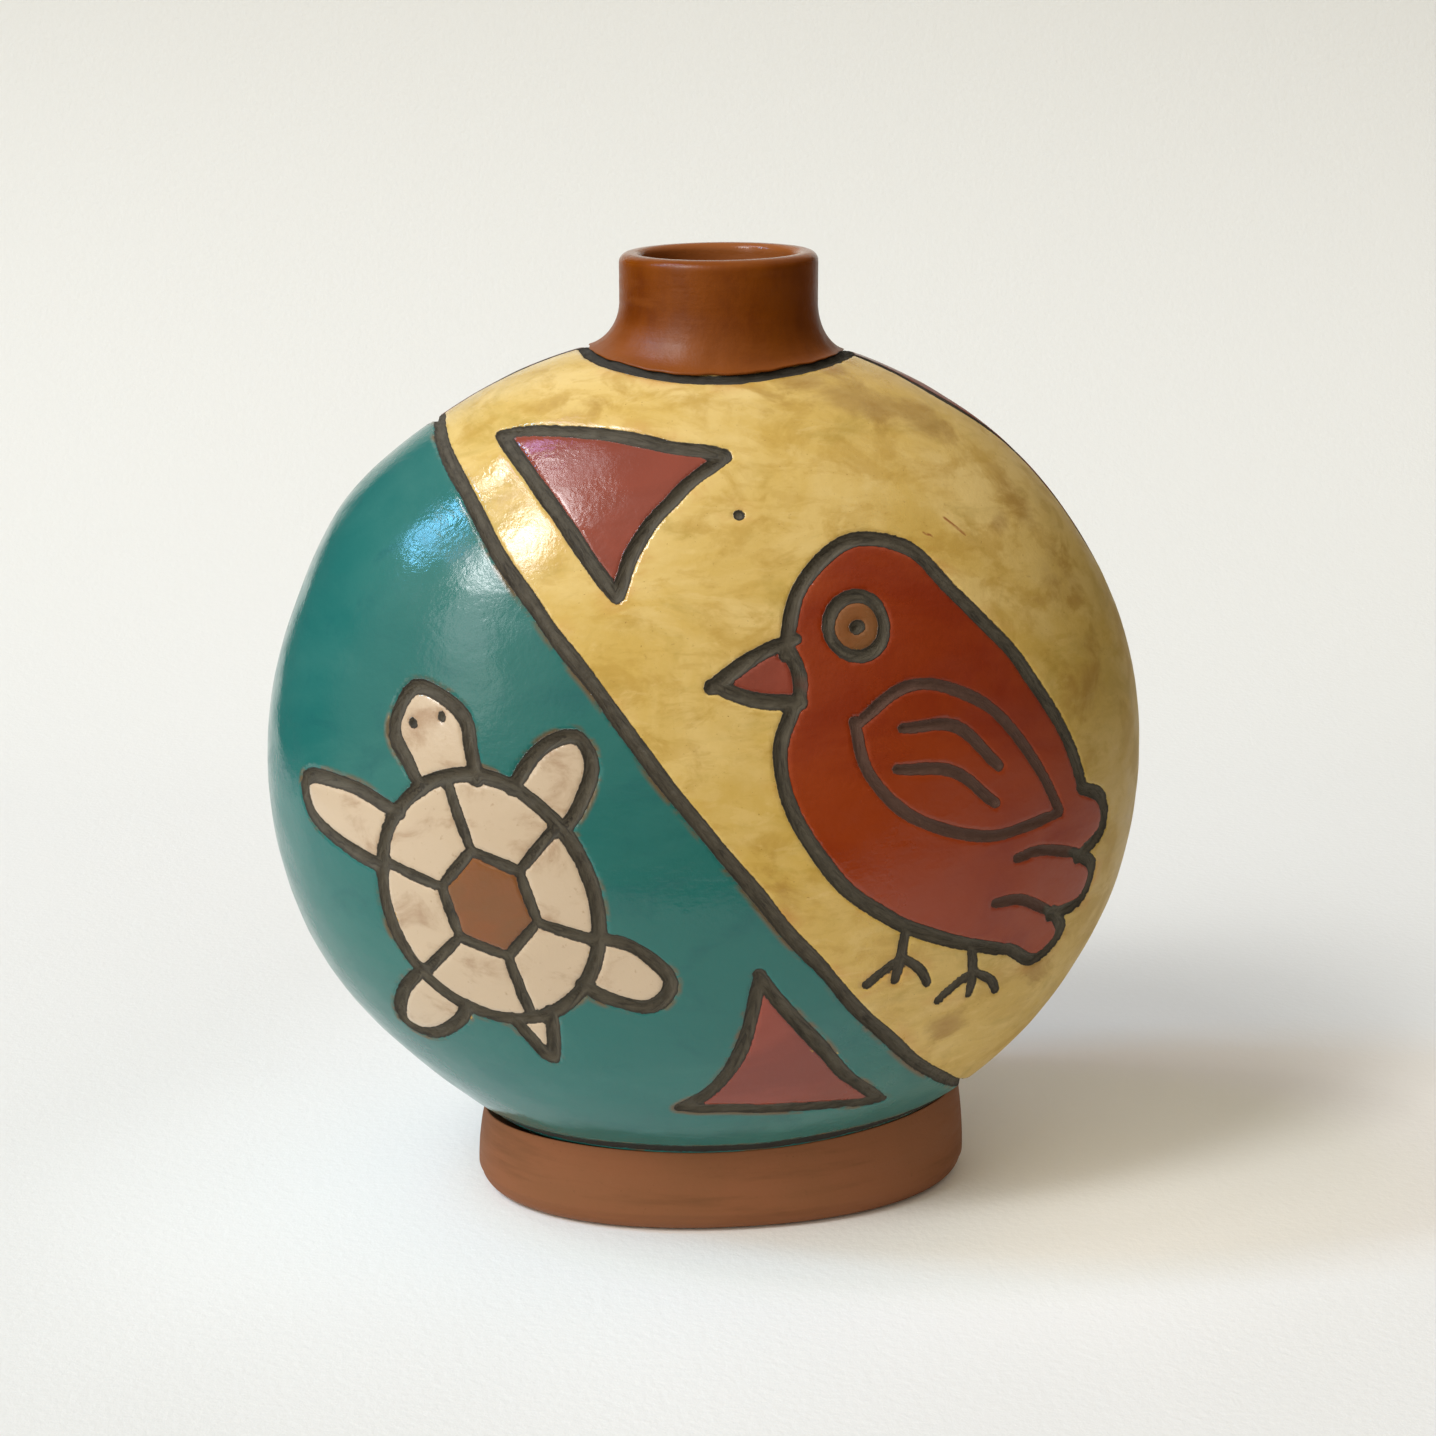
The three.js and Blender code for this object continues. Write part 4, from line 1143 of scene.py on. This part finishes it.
for panel in (
    ("window", -127, 46, 14, 24, 9.6, (0.96, 0.98, 1.0)),
    ("window_bright", -126, 45, 9, 11, 15.0, (0.98, 0.99, 1.0)),
    ("window_foot", -128, 24, 16, 18, 2.4, (0.97, 0.98, 1.0)),
    ("window_sill", -130, 8, 20, 13, 1.4, (1.0, 0.98, 0.95)),
    ("window_corner", -106, 59, 6, 6, 14.0, (0.98, 0.96, 1.0)),
    ("window_top", -116, 64, 14, 8, 2.6, (0.96, 0.92, 1.0)),
    ("blue_pane", -92, 42, 8, 9, 30.0, (0.2, 0.58, 1.0)),
    ("violet_pane", -82, 62, 7, 8, 9.0, (0.62, 0.46, 1.0)),
    ("sky_gap_high", -86, 55, 5, 4, 36.0, (0.95, 0.98, 1.0)),
    ("sky_gap_low", -93, 51, 3, 4, 20.0, (0.95, 0.98, 1.0)),
):
    pane(*panel)

# Soft light of the room: azimuth and elevation of its middle, the cosines of the angles
# from there at which it starts and is full, and how bright it is.
ROOM = (
    (0, 90, 0.35, 0.98, 0.5),  # ceiling
    (-152, 38, 0.5, 0.98, 0.25),  # wall behind the camera
    (-118, 12, 0.7, 0.98, 0.6),  # sill and wall under the window
    (-166, 14, 0.6, 0.98, 0.26),  # wall behind the camera, lower down
    (150, 15, 0.4, 0.98, 0.06),  # wall on the right, near the camera
    (30, 50, 0.6, 0.98, 0.1))  # high on the wall behind the flask, to the right
ROOM_BASE = 0.05
ROOM_TINT = srgb(255, 244, 222)
SHEET_STRENGTH = 0.97


def room_light(name):
    """Dim room light with soft brighter places, which rise smoothly towards their middles.

    Past the end of the sheet the camera sees the paper's own colour.
    """
    world = bpy.data.worlds.new(name)
    world.use_nodes = True
    tree = world.node_tree
    way = tree.nodes.new("ShaderNodeTexCoord").outputs["Generated"]
    total = ROOM_BASE
    for azimuth, elevation, start, full, strength in ROOM:
        middle = direction(azimuth, elevation).tolist()
        towards = vector_node(tree, "DOT_PRODUCT", way, middle).outputs["Value"]
        glow = rise(tree, towards, start, full, 0, strength)
        total = math_node(tree, "ADD", glow, total)
    seen = tree.nodes.new("ShaderNodeLightPath").outputs["Is Camera Ray"]
    background = tree.nodes["Background"]
    feed(tree, background.inputs["Color"], mix(tree, seen, ROOM_TINT, PAPER_FAR))
    feed(tree, background.inputs["Strength"], mix_number(tree, seen, total, SHEET_STRENGTH))
    return world


bpy.context.scene.world = room_light("room")
bpy.context.scene.view_settings.view_transform = "Standard"
